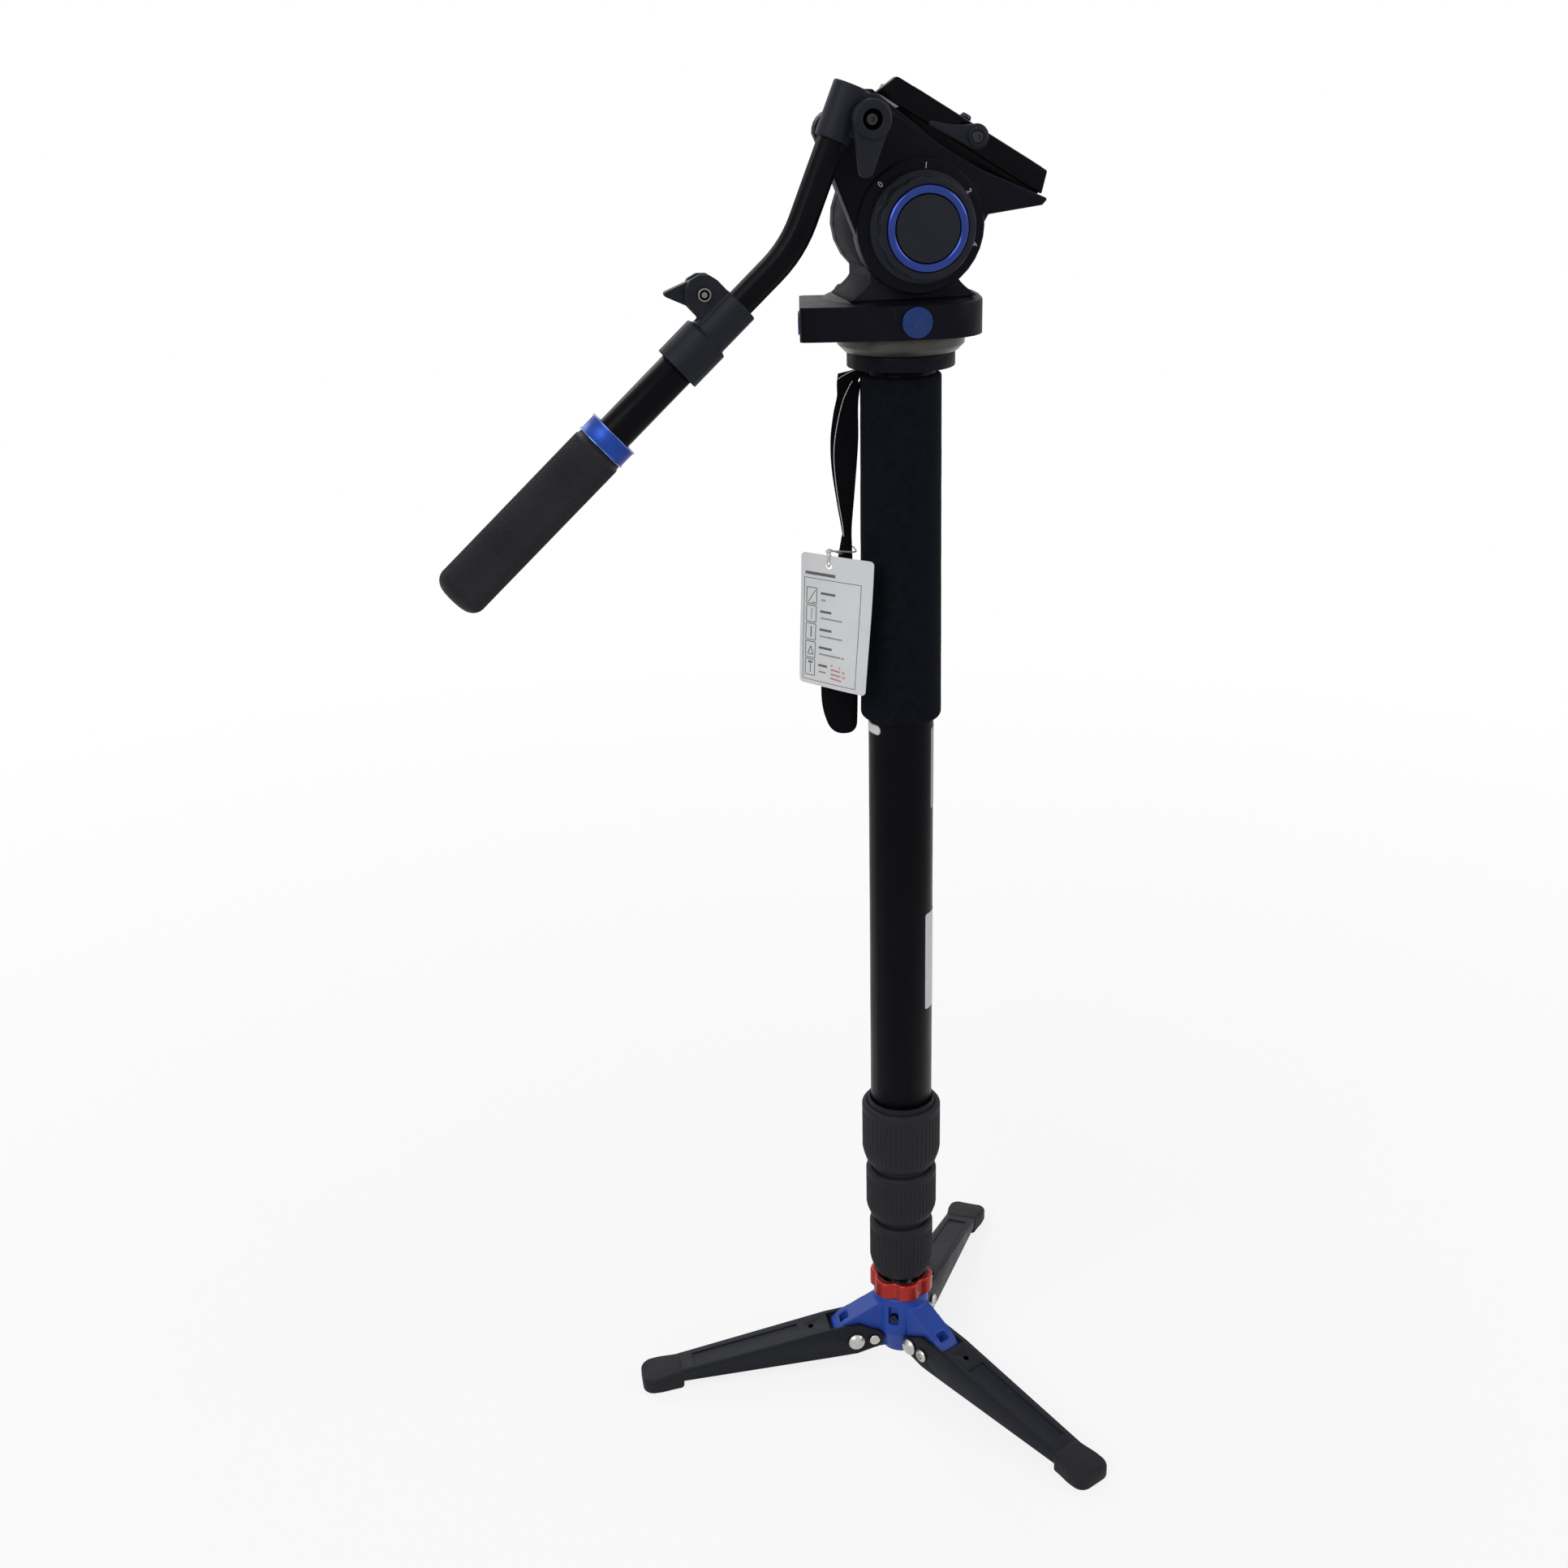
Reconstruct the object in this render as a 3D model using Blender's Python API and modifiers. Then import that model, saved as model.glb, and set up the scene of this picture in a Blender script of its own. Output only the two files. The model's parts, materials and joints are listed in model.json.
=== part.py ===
"""Video monopod: a four-section twist-lock column on a folding three-leg base, with a fluid
head, a telescoping pan handle, a foam grip, a wrist strap and a hang tag.

Metres, +Z up. The head looks along +X and its balance dial faces -Y. The column is built on
an upright axis, and the whole part is placed so that its box stands centred on the origin.
"""
import math

import bmesh
import bpy
from mathutils import Matrix, Vector

MM = 0.001
DEG = math.pi / 180.0

# Clearances shared by all pieces
GAP = 0.3 * MM
RUN_GAP = 0.6 * MM
OVERRUN = 2.0 * MM

# Roundness
FINE = 36
MEDIUM = 24
COARSE = 14
HEX = 6
ARC_STEP = 15.0 * DEG
SMOOTH_ANGLE = 35.0 * DEG

# Where the column stands in the part's box
COLUMN_X = 75.5 * MM
COLUMN_Y = 3.9 * MM

# Base: hub, legs, pins
LEG_COUNT = 3
FIRST_LEG_AZIMUTH = 57.0 * DEG
HUB_BOTTOM = 9.0 * MM
HUB_TOP = 50.0 * MM
HUB_RADIUS = 17.0 * MM
HUB_FOOT_RADIUS = 12.0 * MM
HUB_WAIST = 24.0 * MM
HUB_BEVEL = 1.2 * MM
ARM_HALF_WIDTH = 7.9 * MM
ARM_END = 44.0 * MM
ARM_END_HEIGHT = 27.0 * MM
ARM_SHOULDER = 38.0 * MM
ARM_SHOULDER_HEIGHT = 32.0 * MM
ARM_UNDERSIDE = 23.0 * MM
ARM_ROOT_HEIGHT = 43.8 * MM
ARM_BOSS_RADIUS = 8.0 * MM
WINDOW_LENGTH = 5.0 * MM
WINDOW_WIDTH = 7.0 * MM
WINDOW_REACH = 37.0 * MM
SLOT_WIDTH = 6.0 * MM
SLOT_BOTTOM = 31.0 * MM
SLOT_TOP = 44.0 * MM
SLOT_DEPTH = 3.5 * MM
SET_SCREW_RADIUS = 2.2 * MM
SET_SCREW_LENGTH = 5.0 * MM
SET_SCREW_HEIGHT = 35.0 * MM
PIVOT_REACH = 19.5 * MM
PIVOT_HEIGHT = 20.0 * MM
STOP_PIN_REACH = 31.0 * MM
PIN_RADIUS = 2.4 * MM
DOME_RADIUS = 5.6 * MM
DOME_HEIGHT = 3.2 * MM
RIVET_RADIUS = 3.4 * MM
RIVET_HEIGHT = 1.4 * MM
CAP_RADIUS = 4.1 * MM
CAP_HEIGHT = 2.2 * MM
HEX_DEPTH = 1.4 * MM
HEX_RADIUS = 2.2 * MM
LEG_HALF_WIDTH = 11.0 * MM
LEG_TIP_HALF_WIDTH = 9.6 * MM
LEG_WALL = 2.5 * MM
LEG_EAR_RADIUS = 6.2 * MM
LEG_CROWN_REACH = 29.0 * MM
LEG_CROWN_HEIGHT = 31.5 * MM
LEG_TOP_REACH = 47.0 * MM
LEG_TOP_HEIGHT = 29.5 * MM
LEG_TIP_REACH = 152.0 * MM
LEG_TIP_TOP = 10.2 * MM
LEG_TIP_BOTTOM = 5.0 * MM
LEG_HEEL_REACH = 30.0 * MM
LEG_HEEL_HEIGHT = 10.8 * MM
LEG_CHANNEL_END = LEG_TIP_REACH - 20.0 * MM
LEG_HOLE_REACH = 58.0 * MM
LEG_HOLE_RADIUS = 1.5 * MM
LEG_PANEL_START = 66.0 * MM
LEG_PANEL_END = LEG_TIP_REACH - 18.0 * MM
LEG_PANEL_HALF_WIDTH = 6.0 * MM
LEG_PANEL_DEPTH = 0.8 * MM
FOOT_START = LEG_TIP_REACH - 12.0 * MM
FOOT_END = LEG_TIP_REACH + 13.0 * MM
FOOT_NECK_HALF_WIDTH = 10.8 * MM
FOOT_HALF_WIDTH = 12.4 * MM
FOOT_SKIN = 1.0 * MM
FOOT_END_HEIGHT = 8.6 * MM
FOOT_CORNER = 4.5 * MM
FOOT_BEVEL = 1.2 * MM

# Ball joint under the column
BALL_HEIGHT = 48.0 * MM
BALL_RADIUS = 11.0 * MM
SEAT_WALL = 1.9 * MM
SEAT_LOW = 11.2 * MM
SEAT_HIGH = 0.8 * MM
STEM_RADIUS = 6.5 * MM
STEM_TOP = 63.0 * MM
SPIGOT_RADIUS = 4.0 * MM
SPIGOT_LENGTH = 15.0 * MM
LOCK_RING_RADIUS = 19.4 * MM
LOCK_RING_SCALLOP = 3.2 * MM
LOCK_RING_LOBES = 6
LOCK_RING_TOP = 61.5 * MM
LOCK_RING_BORE = 15.2 * MM
LOCK_RING_LIP = 11.3 * MM
LOCK_RING_LIP_HEIGHT = 2.0 * MM
LOCK_RING_BEVEL = 1.0 * MM
NECK_RADIUS = 9.4 * MM
NECK_BOTTOM = 64.4 * MM
PLUG_FLANGE_HEIGHT = 2.4 * MM
PLUG_LENGTH = 22.0 * MM

# Column: tubes from the top one down, their collars and ferrules
TUBE_RADII = (18.2 * MM, 16.0 * MM, 13.8 * MM, 11.6 * MM)
TUBE_WALL = 1.3 * MM
TUBE_TOPS = (620.7 * MM, 585.0 * MM, 575.0 * MM, 565.0 * MM)
TUBE_FOOT = 71.4 * MM
COLLAR_BOTTOMS = (143.3 * MM, 105.7 * MM, 64.8 * MM)
COLLAR_TOPS = (182.8 * MM, 138.3 * MM, 101.0 * MM)
COLLAR_RADII = (23.5 * MM, 21.3 * MM, 19.3 * MM)
COLLAR_MOUTH_RADII = (21.0 * MM, 19.0 * MM, 16.2 * MM)
COLLAR_LIP = 2.6 * MM
COLLAR_ROUND = 2.4 * MM
COLLAR_TAPERS = (9.0 * MM, 7.0 * MM, 10.0 * MM)
FERRULE_WALL = 1.6 * MM
FERRULE_LENGTHS = (30.0 * MM, 24.0 * MM, 26.0 * MM)
FERRULE_PROUD = 3.0 * MM
FINGER_LENGTH = 5.0 * MM

# Grip, strap and tag
GRIP_BOTTOM = 427.5 * MM
GRIP_TOP = 617.2 * MM
GRIP_RADIUS_TOP = 21.4 * MM
GRIP_RADIUS_BOTTOM = 22.3 * MM
GRIP_ROUND = 3.0 * MM
STRAP_AZIMUTH = 167.0 * DEG
STRAP_THICKNESS = 5.0 * MM
STRAP_TOP = TUBE_TOPS[0]
STRAP_KNEE = 33.4 * MM
STRAP_KNEE_DROP = 6.5 * MM
STRAP_BOW = 37.6 * MM
STRAP_BOW_DROP = 38.0 * MM
STRAP_SIDE = 22.2 * MM
STRAP_SIDE_DROP = 40.0 * MM
STRAP_WAIST_INNER = 26.5 * MM
STRAP_WAIST_OUTER = 31.7 * MM
STRAP_WAIST_DROP = 90.0 * MM
STRAP_PAD = 44.4 * MM
STRAP_PAD_INNER = 24.0 * MM
STRAP_PAD_DROP = 176.8 * MM
STRAP_END_INNER = 26.0 * MM
STRAP_END_OUTER = 35.9 * MM
STRAP_END_DROP = 203.5 * MM
STRAP_BEVEL = 1.2 * MM
TAG_WIDTH = 36.5 * MM
TAG_HEIGHT = 70.0 * MM
TAG_THICKNESS = 0.7 * MM
TAG_CORNER = 2.0 * MM
TAG_HOLE_RADIUS = 1.8 * MM
TAG_HOLE_DROP = 5.0 * MM
TAG_MIDDLE_HEIGHT = STRAP_TOP - STRAP_WAIST_DROP - 40.7 * MM
TAG_SIDE = 34.6 * MM
TAG_FRONT = 21.5 * MM
TAG_AZIMUTH = -106.0 * DEG
TAG_YAW = 10.0 * DEG
LOOP_RADIUS = 0.4 * MM
LOOP_CLEARANCE = 0.8 * MM
TAG_LEAN = 3.5 * DEG

# Column top and head base
DISC_BOTTOM = TUBE_TOPS[0] + GAP
DISC_HEIGHT = 7.9 * MM
DISC_RADIUS = 28.4 * MM
DISC_PLUG_LENGTH = 28.0 * MM
BASE_HEIGHT = 9.7 * MM
BASE_RADIUS = 33.3 * MM
BASE_CHAMFER = 3.5 * MM
PAN_SPIGOT_RADIUS = 13.0 * MM
PAN_SPIGOT_HEIGHT = 13.0 * MM
HEAD_SCREW_RADIUS = 4.8 * MM
HEAD_SCREW_BOTTOM = DISC_BOTTOM - 13.0 * MM
HEAD_SCREW_TOP = DISC_BOTTOM + 27.0 * MM
PAN_BOTTOM = DISC_BOTTOM + DISC_HEIGHT + GAP + BASE_HEIGHT + GAP
PAN_HEIGHT = 17.4 * MM
PAN_RADIUS = 42.0 * MM
PAN_CROWN = 1.0 * MM
PAN_CROWN_RADIUS = 38.0 * MM
PAN_BEVEL = 1.8 * MM
BLOCK_AZIMUTH = 167.0 * DEG
BLOCK_REACH = 52.6 * MM
BLOCK_FRONT = 41.5 * MM
BLOCK_BACK = 10.0 * MM
BLOCK_CORNER = 3.0 * MM
BADGE_RADIUS = 7.8 * MM
SIDE_BADGE_RADIUS = 6.0 * MM
SIDE_BADGE_INSET = 9.5 * MM
BADGE_DEPTH = 2.2 * MM
BADGE_PROUD = 0.9 * MM
BADGE_FACET_AZIMUTH = -94.0 * DEG
BADGE_FACET_OFFSET = 40.6 * MM
PAN_CORNER_RADIUS = 24.0 * MM
PAN_CORNER_BACK = 17.0 * MM
PAN_CORNER_OUT = 14.0 * MM
BLOCK_EDGE = 1.2 * MM
PAN_KNOB_RADIUS = 10.5 * MM
PAN_KNOB_LENGTH = 13.0 * MM
PAN_KNOB_STEM_RADIUS = 3.0 * MM
PAN_KNOB_STEM = 8.0 * MM
PAN_KNOB_AZIMUTH = 108.0 * DEG

# Fluid head, level, about its tilt axis
TILT_REST = 30.9 * DEG
DRUM_RADIUS = 31.0 * MM
DRUM_NEAR = 26.0 * MM
DRUM_FAR = 17.7 * MM
NECK_INSET = 0.6 * MM
NECK_HALF_BASE = 33.0 * MM
NECK_HALF_WAIST = 23.0 * MM
NECK_WAIST_DROP = 27.0 * MM
NECK_STEPS = 5
NECK_CURVE = 1.3
AXLE_RADIUS = 6.0 * MM
AXLE_NEAR = 36.0 * MM
AXLE_FAR = 24.0 * MM
CHEEK_NEAR_FACE = 35.0 * MM
CHEEK_RADIUS = 32.7 * MM
CHEEK_BOSS_PROUD = 2.5 * MM
CHEEK_BEVEL = 0.8 * MM
CHEEK_FAR_FACE = 26.0 * MM
CHEEK_FAR_RADIUS = 32.0 * MM
HEAD_CLEARANCE = 3.5 * MM
TILT_HEIGHT = PAN_BOTTOM + PAN_HEIGHT + PAN_CROWN + CHEEK_RADIUS + HEAD_CLEARANCE
CHEEK_TOP = 43.2 * MM
CHEEK_DIP = 38.2 * MM
CHEEK_DIP_BACK = 12.0 * MM
CHEEK_DIP_FRONT = 13.0 * MM
CHEEK_FRONT = 51.4 * MM
CHEEK_LIP_HEIGHT = 39.2 * MM
CHEEK_CROOK = 28.0 * MM
CHEEK_CROOK_HEIGHT = 21.7 * MM
CHEEK_HEEL = 51.5 * MM
ROSETTE_BACK = 53.7 * MM
ROSETTE_UP = 28.5 * MM
ROSETTE_RADIUS = 11.6 * MM
LOBE_MARGIN = 1.3 * MM
FAR_ROSETTE_BACK = 47.5 * MM
FAR_ROSETTE_UP = 22.0 * MM
FAR_ROSETTE_RADIUS = 9.6 * MM
ROSETTE_PROUD = 4.2 * MM
FAR_ROSETTE_PROUD = 2.0 * MM
PLATFORM_BOTTOM = 43.9 * MM
PLATFORM_TOP = 49.4 * MM
PLATFORM_FRONT = 49.3 * MM
PLATFORM_BACK = 44.6 * MM
PLATFORM_SLOPE = 5.0 * MM
PLATFORM_HALF_WIDTH = 30.0 * MM
JAW_CORNER = 40.0 * MM
JAW_BACK = 35.0 * MM
PLATFORM_BEVEL = 1.0 * MM
PLATE_TOP = 56.0 * MM
PLATE_FRONT = 46.0 * MM
PLATE_BACK = 34.5 * MM
PLATE_HALF_WIDTH = 24.0 * MM
RAIL_WALL = 3.2 * MM
PLATE_SLOT_LENGTH = 32.0 * MM
CAMERA_SCREW_RADIUS = 3.1 * MM
CAMERA_SCREW_HEAD_RADIUS = 7.0 * MM
CAMERA_SCREW_HEAD_HEIGHT = 2.0 * MM
CAMERA_SCREW_PROUD = 5.0 * MM
CAMERA_SCREW_FORWARD = 4.0 * MM
RECESS_DEPTH = 3.0 * MM
PLATE_LEVER_FORWARD = 4.0 * MM
PLATE_LEVER_UP = 50.3 * MM
PLATE_LEVER_RADIUS = 6.3 * MM
PLATE_LEVER_TIP_RADIUS = 1.6 * MM
PLATE_LEVER_LENGTH = 24.0 * MM
PLATE_LEVER_ANGLE = 194.4 * DEG
PLATE_LEVER_THICKNESS = 5.0 * MM
PLATE_BOLT_RADIUS = 2.5 * MM
DIAL_SKIRT_RADIUS = 27.0 * MM
DIAL_SKIRT_DEPTH = 4.0 * MM
DIAL_RADIUS = 24.6 * MM
DIAL_DEPTH = 11.4 * MM
DIAL_LUGS = 12
DIAL_LUG_DEPTH = 1.2 * MM
DIAL_RING_RADIUS = 20.7 * MM
DIAL_RING_INNER_RADIUS = 17.2 * MM
DIAL_RING_DEPTH = 2.0 * MM
DIAL_RING_PROUD = 1.0 * MM
LOCK_LEVER_RADIUS = 9.0 * MM
LOCK_LEVER_TIP_RADIUS = 4.0 * MM
LOCK_LEVER_LENGTH = 30.0 * MM
LOCK_LEVER_THICKNESS = 6.0 * MM
LOCK_LEVER_ANGLE = 20.0 * DEG

# Pan handle, in a frame that leans with its socket
HANDLE_LEAN = 22.2 * DEG
HANDLE_BEND = 25.3 * DEG
HANDLE_BEND_RADIUS = 62.0 * MM
HANDLE_PLANE = 48.5 * MM
SOCKET_OFFSET = 11.6 * MM
SOCKET_TOP = 11.6 * MM
SOCKET_BOTTOM = 14.9 * MM
SOCKET_WALL = 1.3 * MM
SOCKET_CAP = 3.0 * MM
CLAMP_NEAR_FACE = 56.0 * MM
WING_SEAT = 58.1 * MM
WING_SEAT_RADIUS = 6.0 * MM
INNER_TUBE_RADIUS = 7.3 * MM
INNER_TUBE_WALL = 1.2 * MM
BEND_DROP = 68.0 * MM
INNER_TUBE_END = 168.0 * MM
OUTER_TUBE_RADIUS = 9.3 * MM
OUTER_TUBE_WALL = 1.2 * MM
OUTER_TUBE_START = 61.4 * MM
OUTER_TUBE_END = 229.9 * MM
COLLAR_START = 36.3 * MM
COLLAR_STEP = 58.8 * MM
COLLAR_END = 80.1 * MM
COLLAR_RADIUS = 10.2 * MM
COLLAR_RING_RADIUS = 12.4 * MM
LUG_ALONG = 46.1 * MM
LUG_ACROSS = 16.7 * MM
LUG_RADIUS = 9.5 * MM
LUG_HALF_WIDTH = 5.4 * MM
LUG_SLOT_HALF_WIDTH = 2.7 * MM
CAM_RADIUS = 8.2 * MM
CAM_TIP_RADIUS = 1.4 * MM
CAM_LENGTH = 17.2 * MM
CAM_ANGLE = 46.0 * DEG
CAM_PIN_RADIUS = 2.6 * MM
CAM_PIN_HEAD_RADIUS = 3.3 * MM
CAM_PIN_HEAD = 0.9 * MM
GRIP_RING_START = 123.5 * MM
GRIP_RING_END = 133.3 * MM
GRIP_RING_RADIUS = 13.9 * MM
HANDLE_GRIP_END = 237.4 * MM
HANDLE_GRIP_RADIUS = 13.6 * MM
HANDLE_GRIP_ROUND = 6.0 * MM
WING_RADIUS = 9.4 * MM
WING_TIP_RADIUS = 3.8 * MM
WING_LENGTH = 23.0 * MM
WING_ANGLE = -15.3 * DEG
WING_THICKNESS = 5.5 * MM
WING_RECESS_RADIUS = 4.8 * MM
WING_RECESS_DEPTH = 2.2 * MM

COLOURS = {
    "casting_blue": ((0.02, 0.07, 0.55), 0.35, 0.1),
    "anodised_blue": ((0.01, 0.12, 0.62), 0.25, 0.9),
    "anodised_red": ((0.55, 0.02, 0.015), 0.25, 0.9),
    "black_plastic": ((0.02, 0.02, 0.024), 0.45, 0.0),
    "black_casting": ((0.025, 0.026, 0.03), 0.42, 0.2),
    "black_tube": ((0.012, 0.012, 0.014), 0.3, 0.7),
    "black_rubber": ((0.018, 0.018, 0.02), 0.7, 0.0),
    "black_foam": ((0.012, 0.012, 0.013), 0.95, 0.0),
    "grey_alloy": ((0.28, 0.28, 0.29), 0.35, 0.9),
    "steel": ((0.6, 0.6, 0.62), 0.25, 1.0),
    "white_card": ((0.8, 0.8, 0.8), 0.4, 0.0),
    "black_webbing": ((0.015, 0.015, 0.017), 0.8, 0.0),
    "nylon": ((0.7, 0.7, 0.66), 0.5, 0.0),
}


def clear_scene():
    for item in list(bpy.data.objects):
        bpy.data.objects.remove(item, do_unlink=True)


def new_collection(name):
    group = bpy.data.collections.new(name)
    bpy.context.scene.collection.children.link(group)
    return group


clear_scene()
PARTS = new_collection("video_monopod")
ROOT = bpy.data.objects.new("stand", None)
PARTS.objects.link(ROOT)
ROOT.location = (COLUMN_X, COLUMN_Y, 0.0)


def material(name):
    found = bpy.data.materials.get(name)
    if found:
        return found
    colour, roughness, metallic = COLOURS[name]
    made = bpy.data.materials.new(name)
    made.use_nodes = True
    shader = made.node_tree.nodes["Principled BSDF"]
    shader.inputs["Base Color"].default_value = (*colour, 1.0)
    shader.inputs["Roughness"].default_value = roughness
    shader.inputs["Metallic"].default_value = metallic
    made.diffuse_color = (*colour, 1.0)
    return made


def frame(location, parent=None, turn=None):
    """An empty that carries pieces: a joint's axis or a leaning frame."""
    empty = bpy.data.objects.new("frame", None)
    PARTS.objects.link(empty)
    empty.parent = parent or ROOT
    empty.location = location
    if turn:
        empty.rotation_euler = turn
    return empty


def place(shape, name, look, parent=None):
    """Names a shape, gives it its material and hangs it on its frame."""
    shape.name = name
    shape.data.name = name
    shape.data.materials.clear()
    shape.data.materials.append(material(look))
    shape.data.shade_smooth()
    shape.data.set_sharp_from_angle(angle=SMOOTH_ANGLE)
    shape.parent = parent or ROOT
    return shape


def mesh_object(mesh, matrix=None):
    shape = bpy.data.objects.new(mesh.name, mesh)
    PARTS.objects.link(shape)
    shape.matrix_world = matrix or Matrix.Identity(4)
    return shape


def move(shape, location=(0.0, 0.0, 0.0), turn=(0.0, 0.0, 0.0)):
    """Shifts and turns the mesh itself, so that the object's origin stays where it was."""
    shape.data.transform(Matrix.Translation(location) @ euler_matrix(turn))
    return shape


def euler_matrix(turn):
    about_x = Matrix.Rotation(turn[0], 4, "X")
    about_y = Matrix.Rotation(turn[1], 4, "Y")
    about_z = Matrix.Rotation(turn[2], 4, "Z")
    return about_z @ about_y @ about_x


def turned(profile, steps=FINE, loop=True):
    """A profile of (radius, height) points spun about Z. It runs down its outer side."""
    mesh = bpy.data.meshes.new("turned")
    points = [(radius, 0.0, height) for radius, height in profile]
    edges = [(i, i + 1) for i in range(len(points) - 1)]
    if loop:
        edges.append((len(points) - 1, 0))
    mesh.from_pydata(points, edges, [])
    shape = mesh_object(mesh)
    screw = shape.modifiers.new("spin", "SCREW")
    screw.steps = steps
    screw.render_steps = steps
    screw.use_merge_vertices = True
    screw.merge_threshold = 0.00001
    return baked(shape)


def baked(shape):
    """The evaluated mesh as an object's own mesh, welded and closed."""
    depsgraph = bpy.context.evaluated_depsgraph_get()
    mesh = bpy.data.meshes.new_from_object(shape.evaluated_get(depsgraph))
    work = bmesh.new()
    work.from_mesh(mesh)
    bmesh.ops.remove_doubles(work, verts=work.verts, dist=0.00001)
    bmesh.ops.recalc_face_normals(work, faces=work.faces)
    work.to_mesh(mesh)
    work.free()
    made = mesh_object(mesh, shape.matrix_world.copy())
    bpy.data.objects.remove(shape, do_unlink=True)
    return made


def plate(outline, low, high):
    """A closed outline in X and Y, filled, from height low to height high."""
    curve = bpy.data.curves.new("outline", "CURVE")
    curve.dimensions = "2D"
    curve.fill_mode = "BOTH"
    curve.extrude = 0.5 * (high - low)
    spline = curve.splines.new("POLY")
    spline.points.add(len(outline) - 1)
    for point, (x, y) in zip(spline.points, outline):
        point.co = (x, y, 0.0, 1.0)
    spline.use_cyclic_u = True
    shape = bpy.data.objects.new("outline", curve)
    PARTS.objects.link(shape)
    made = baked(shape)
    return move(made, (0.0, 0.0, 0.5 * (low + high)))


def side_plate(outline, near, far):
    """A closed outline in X and Z, filled, from y = near to y = far."""
    made = plate(outline, -far, -near)
    return move(made, turn=(90.0 * DEG, 0.0, 0.0))


def rod(path, radius, sides=8, ring=False):
    """A round bar along a path of points, or a closed ring of it."""
    curve = bpy.data.curves.new("path", "CURVE")
    curve.dimensions = "3D"
    curve.bevel_depth = radius
    curve.bevel_resolution = sides
    curve.use_fill_caps = True
    spline = curve.splines.new("POLY")
    spline.points.add(len(path) - 1)
    for point, place_at in zip(spline.points, path):
        point.co = (*place_at, 1.0)
    spline.use_cyclic_u = ring
    shape = bpy.data.objects.new("path", curve)
    PARTS.objects.link(shape)
    return baked(shape)


def box(low, high):
    size = Vector(high) - Vector(low)
    mesh = bpy.data.meshes.new("box")
    work = bmesh.new()
    bmesh.ops.create_cube(work, size=1.0)
    bmesh.ops.scale(work, vec=size, verts=work.verts)
    bmesh.ops.translate(work, vec=(Vector(low) + Vector(high)) / 2.0, verts=work.verts)
    work.to_mesh(mesh)
    work.free()
    return mesh_object(mesh)


def cylinder(radius, low, high, steps=MEDIUM):
    return turned([(0.0, high), (radius, high), (radius, low), (0.0, low)], steps, loop=False)


def pipe(outer, inner, low, high, steps=FINE):
    return turned([(outer, high), (outer, low), (inner, low), (inner, high)], steps)


def ball_shape(radius, centre, segments=MEDIUM):
    mesh = bpy.data.meshes.new("ball")
    work = bmesh.new()
    bmesh.ops.create_uvsphere(work, u_segments=segments, v_segments=segments // 2, radius=radius)
    bmesh.ops.translate(work, vec=centre, verts=work.verts)
    work.to_mesh(mesh)
    work.free()
    return mesh_object(mesh)


def combine(shape, tool, operation):
    """Adds, cuts or keeps what is common, and leaves one closed mesh."""
    bpy.context.view_layer.update()
    step = shape.modifiers.new("combine", "BOOLEAN")
    step.operation = operation
    step.solver = "EXACT"
    step.object = tool
    made = baked(shape)
    bpy.data.objects.remove(tool, do_unlink=True)
    return made


def cut(shape, *tools):
    for tool in tools:
        shape = combine(shape, tool, "DIFFERENCE")
    return shape


def join(shape, *tools):
    for tool in tools:
        shape = combine(shape, tool, "UNION")
    return shape


def keep(shape, tool):
    return combine(shape, tool, "INTERSECT")


def soften(shape, width, segments=2, angle=40.0 * DEG):
    step = shape.modifiers.new("soften", "BEVEL")
    step.width = width
    step.segments = segments
    step.limit_method = "ANGLE"
    step.angle_limit = angle
    step.use_clamp_overlap = True
    return shape


def arc(centre, radius, start, end):
    """Points of an arc from angle start to angle end."""
    steps = max(2, int(round(abs(end - start) / ARC_STEP)))
    points = []
    for i in range(steps + 1):
        angle = start + (end - start) * i / steps
        points.append((centre[0] + radius * math.cos(angle), centre[1] + radius * math.sin(angle)))
    return points


def teardrop(hub_radius, tip_radius, length, angle):
    """A lever's outline: a round hub, straight flanks and a round tip."""
    lean = math.acos((hub_radius - tip_radius) / length)
    tip = (length * math.cos(angle), length * math.sin(angle))
    return (arc((0.0, 0.0), hub_radius, angle + lean, angle + 2.0 * math.pi - lean)
            + arc(tip, tip_radius, angle - lean, angle + lean))


def rounded_box_outline(x0, x1, y0, y1, corner):
    return (arc((x1 - corner, y1 - corner), corner, 0.0, 90.0 * DEG)
            + arc((x0 + corner, y1 - corner), corner, 90.0 * DEG, 180.0 * DEG)
            + arc((x0 + corner, y0 + corner), corner, 180.0 * DEG, 270.0 * DEG)
            + arc((x1 - corner, y0 + corner), corner, 270.0 * DEG, 360.0 * DEG))


def lobed_outline(radius, depth, lobes, sharpness, points_per_lobe=12):
    """A circle with evenly spaced scallops."""
    outline = []
    count = lobes * points_per_lobe
    for i in range(count):
        angle = 2.0 * math.pi * i / count
        dip = (0.5 + 0.5 * math.cos(lobes * angle)) ** sharpness
        reach = radius - depth * dip
        outline.append((reach * math.cos(angle), reach * math.sin(angle)))
    return outline


LEG_AZIMUTHS = [FIRST_LEG_AZIMUTH + 2.0 * math.pi * i / LEG_COUNT for i in range(LEG_COUNT)]


def across(shape):
    """Turns a piece made along Z so that it lies along Y, its top facing -Y."""
    return move(shape, turn=(90.0 * DEG, 0.0, 0.0))


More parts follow.
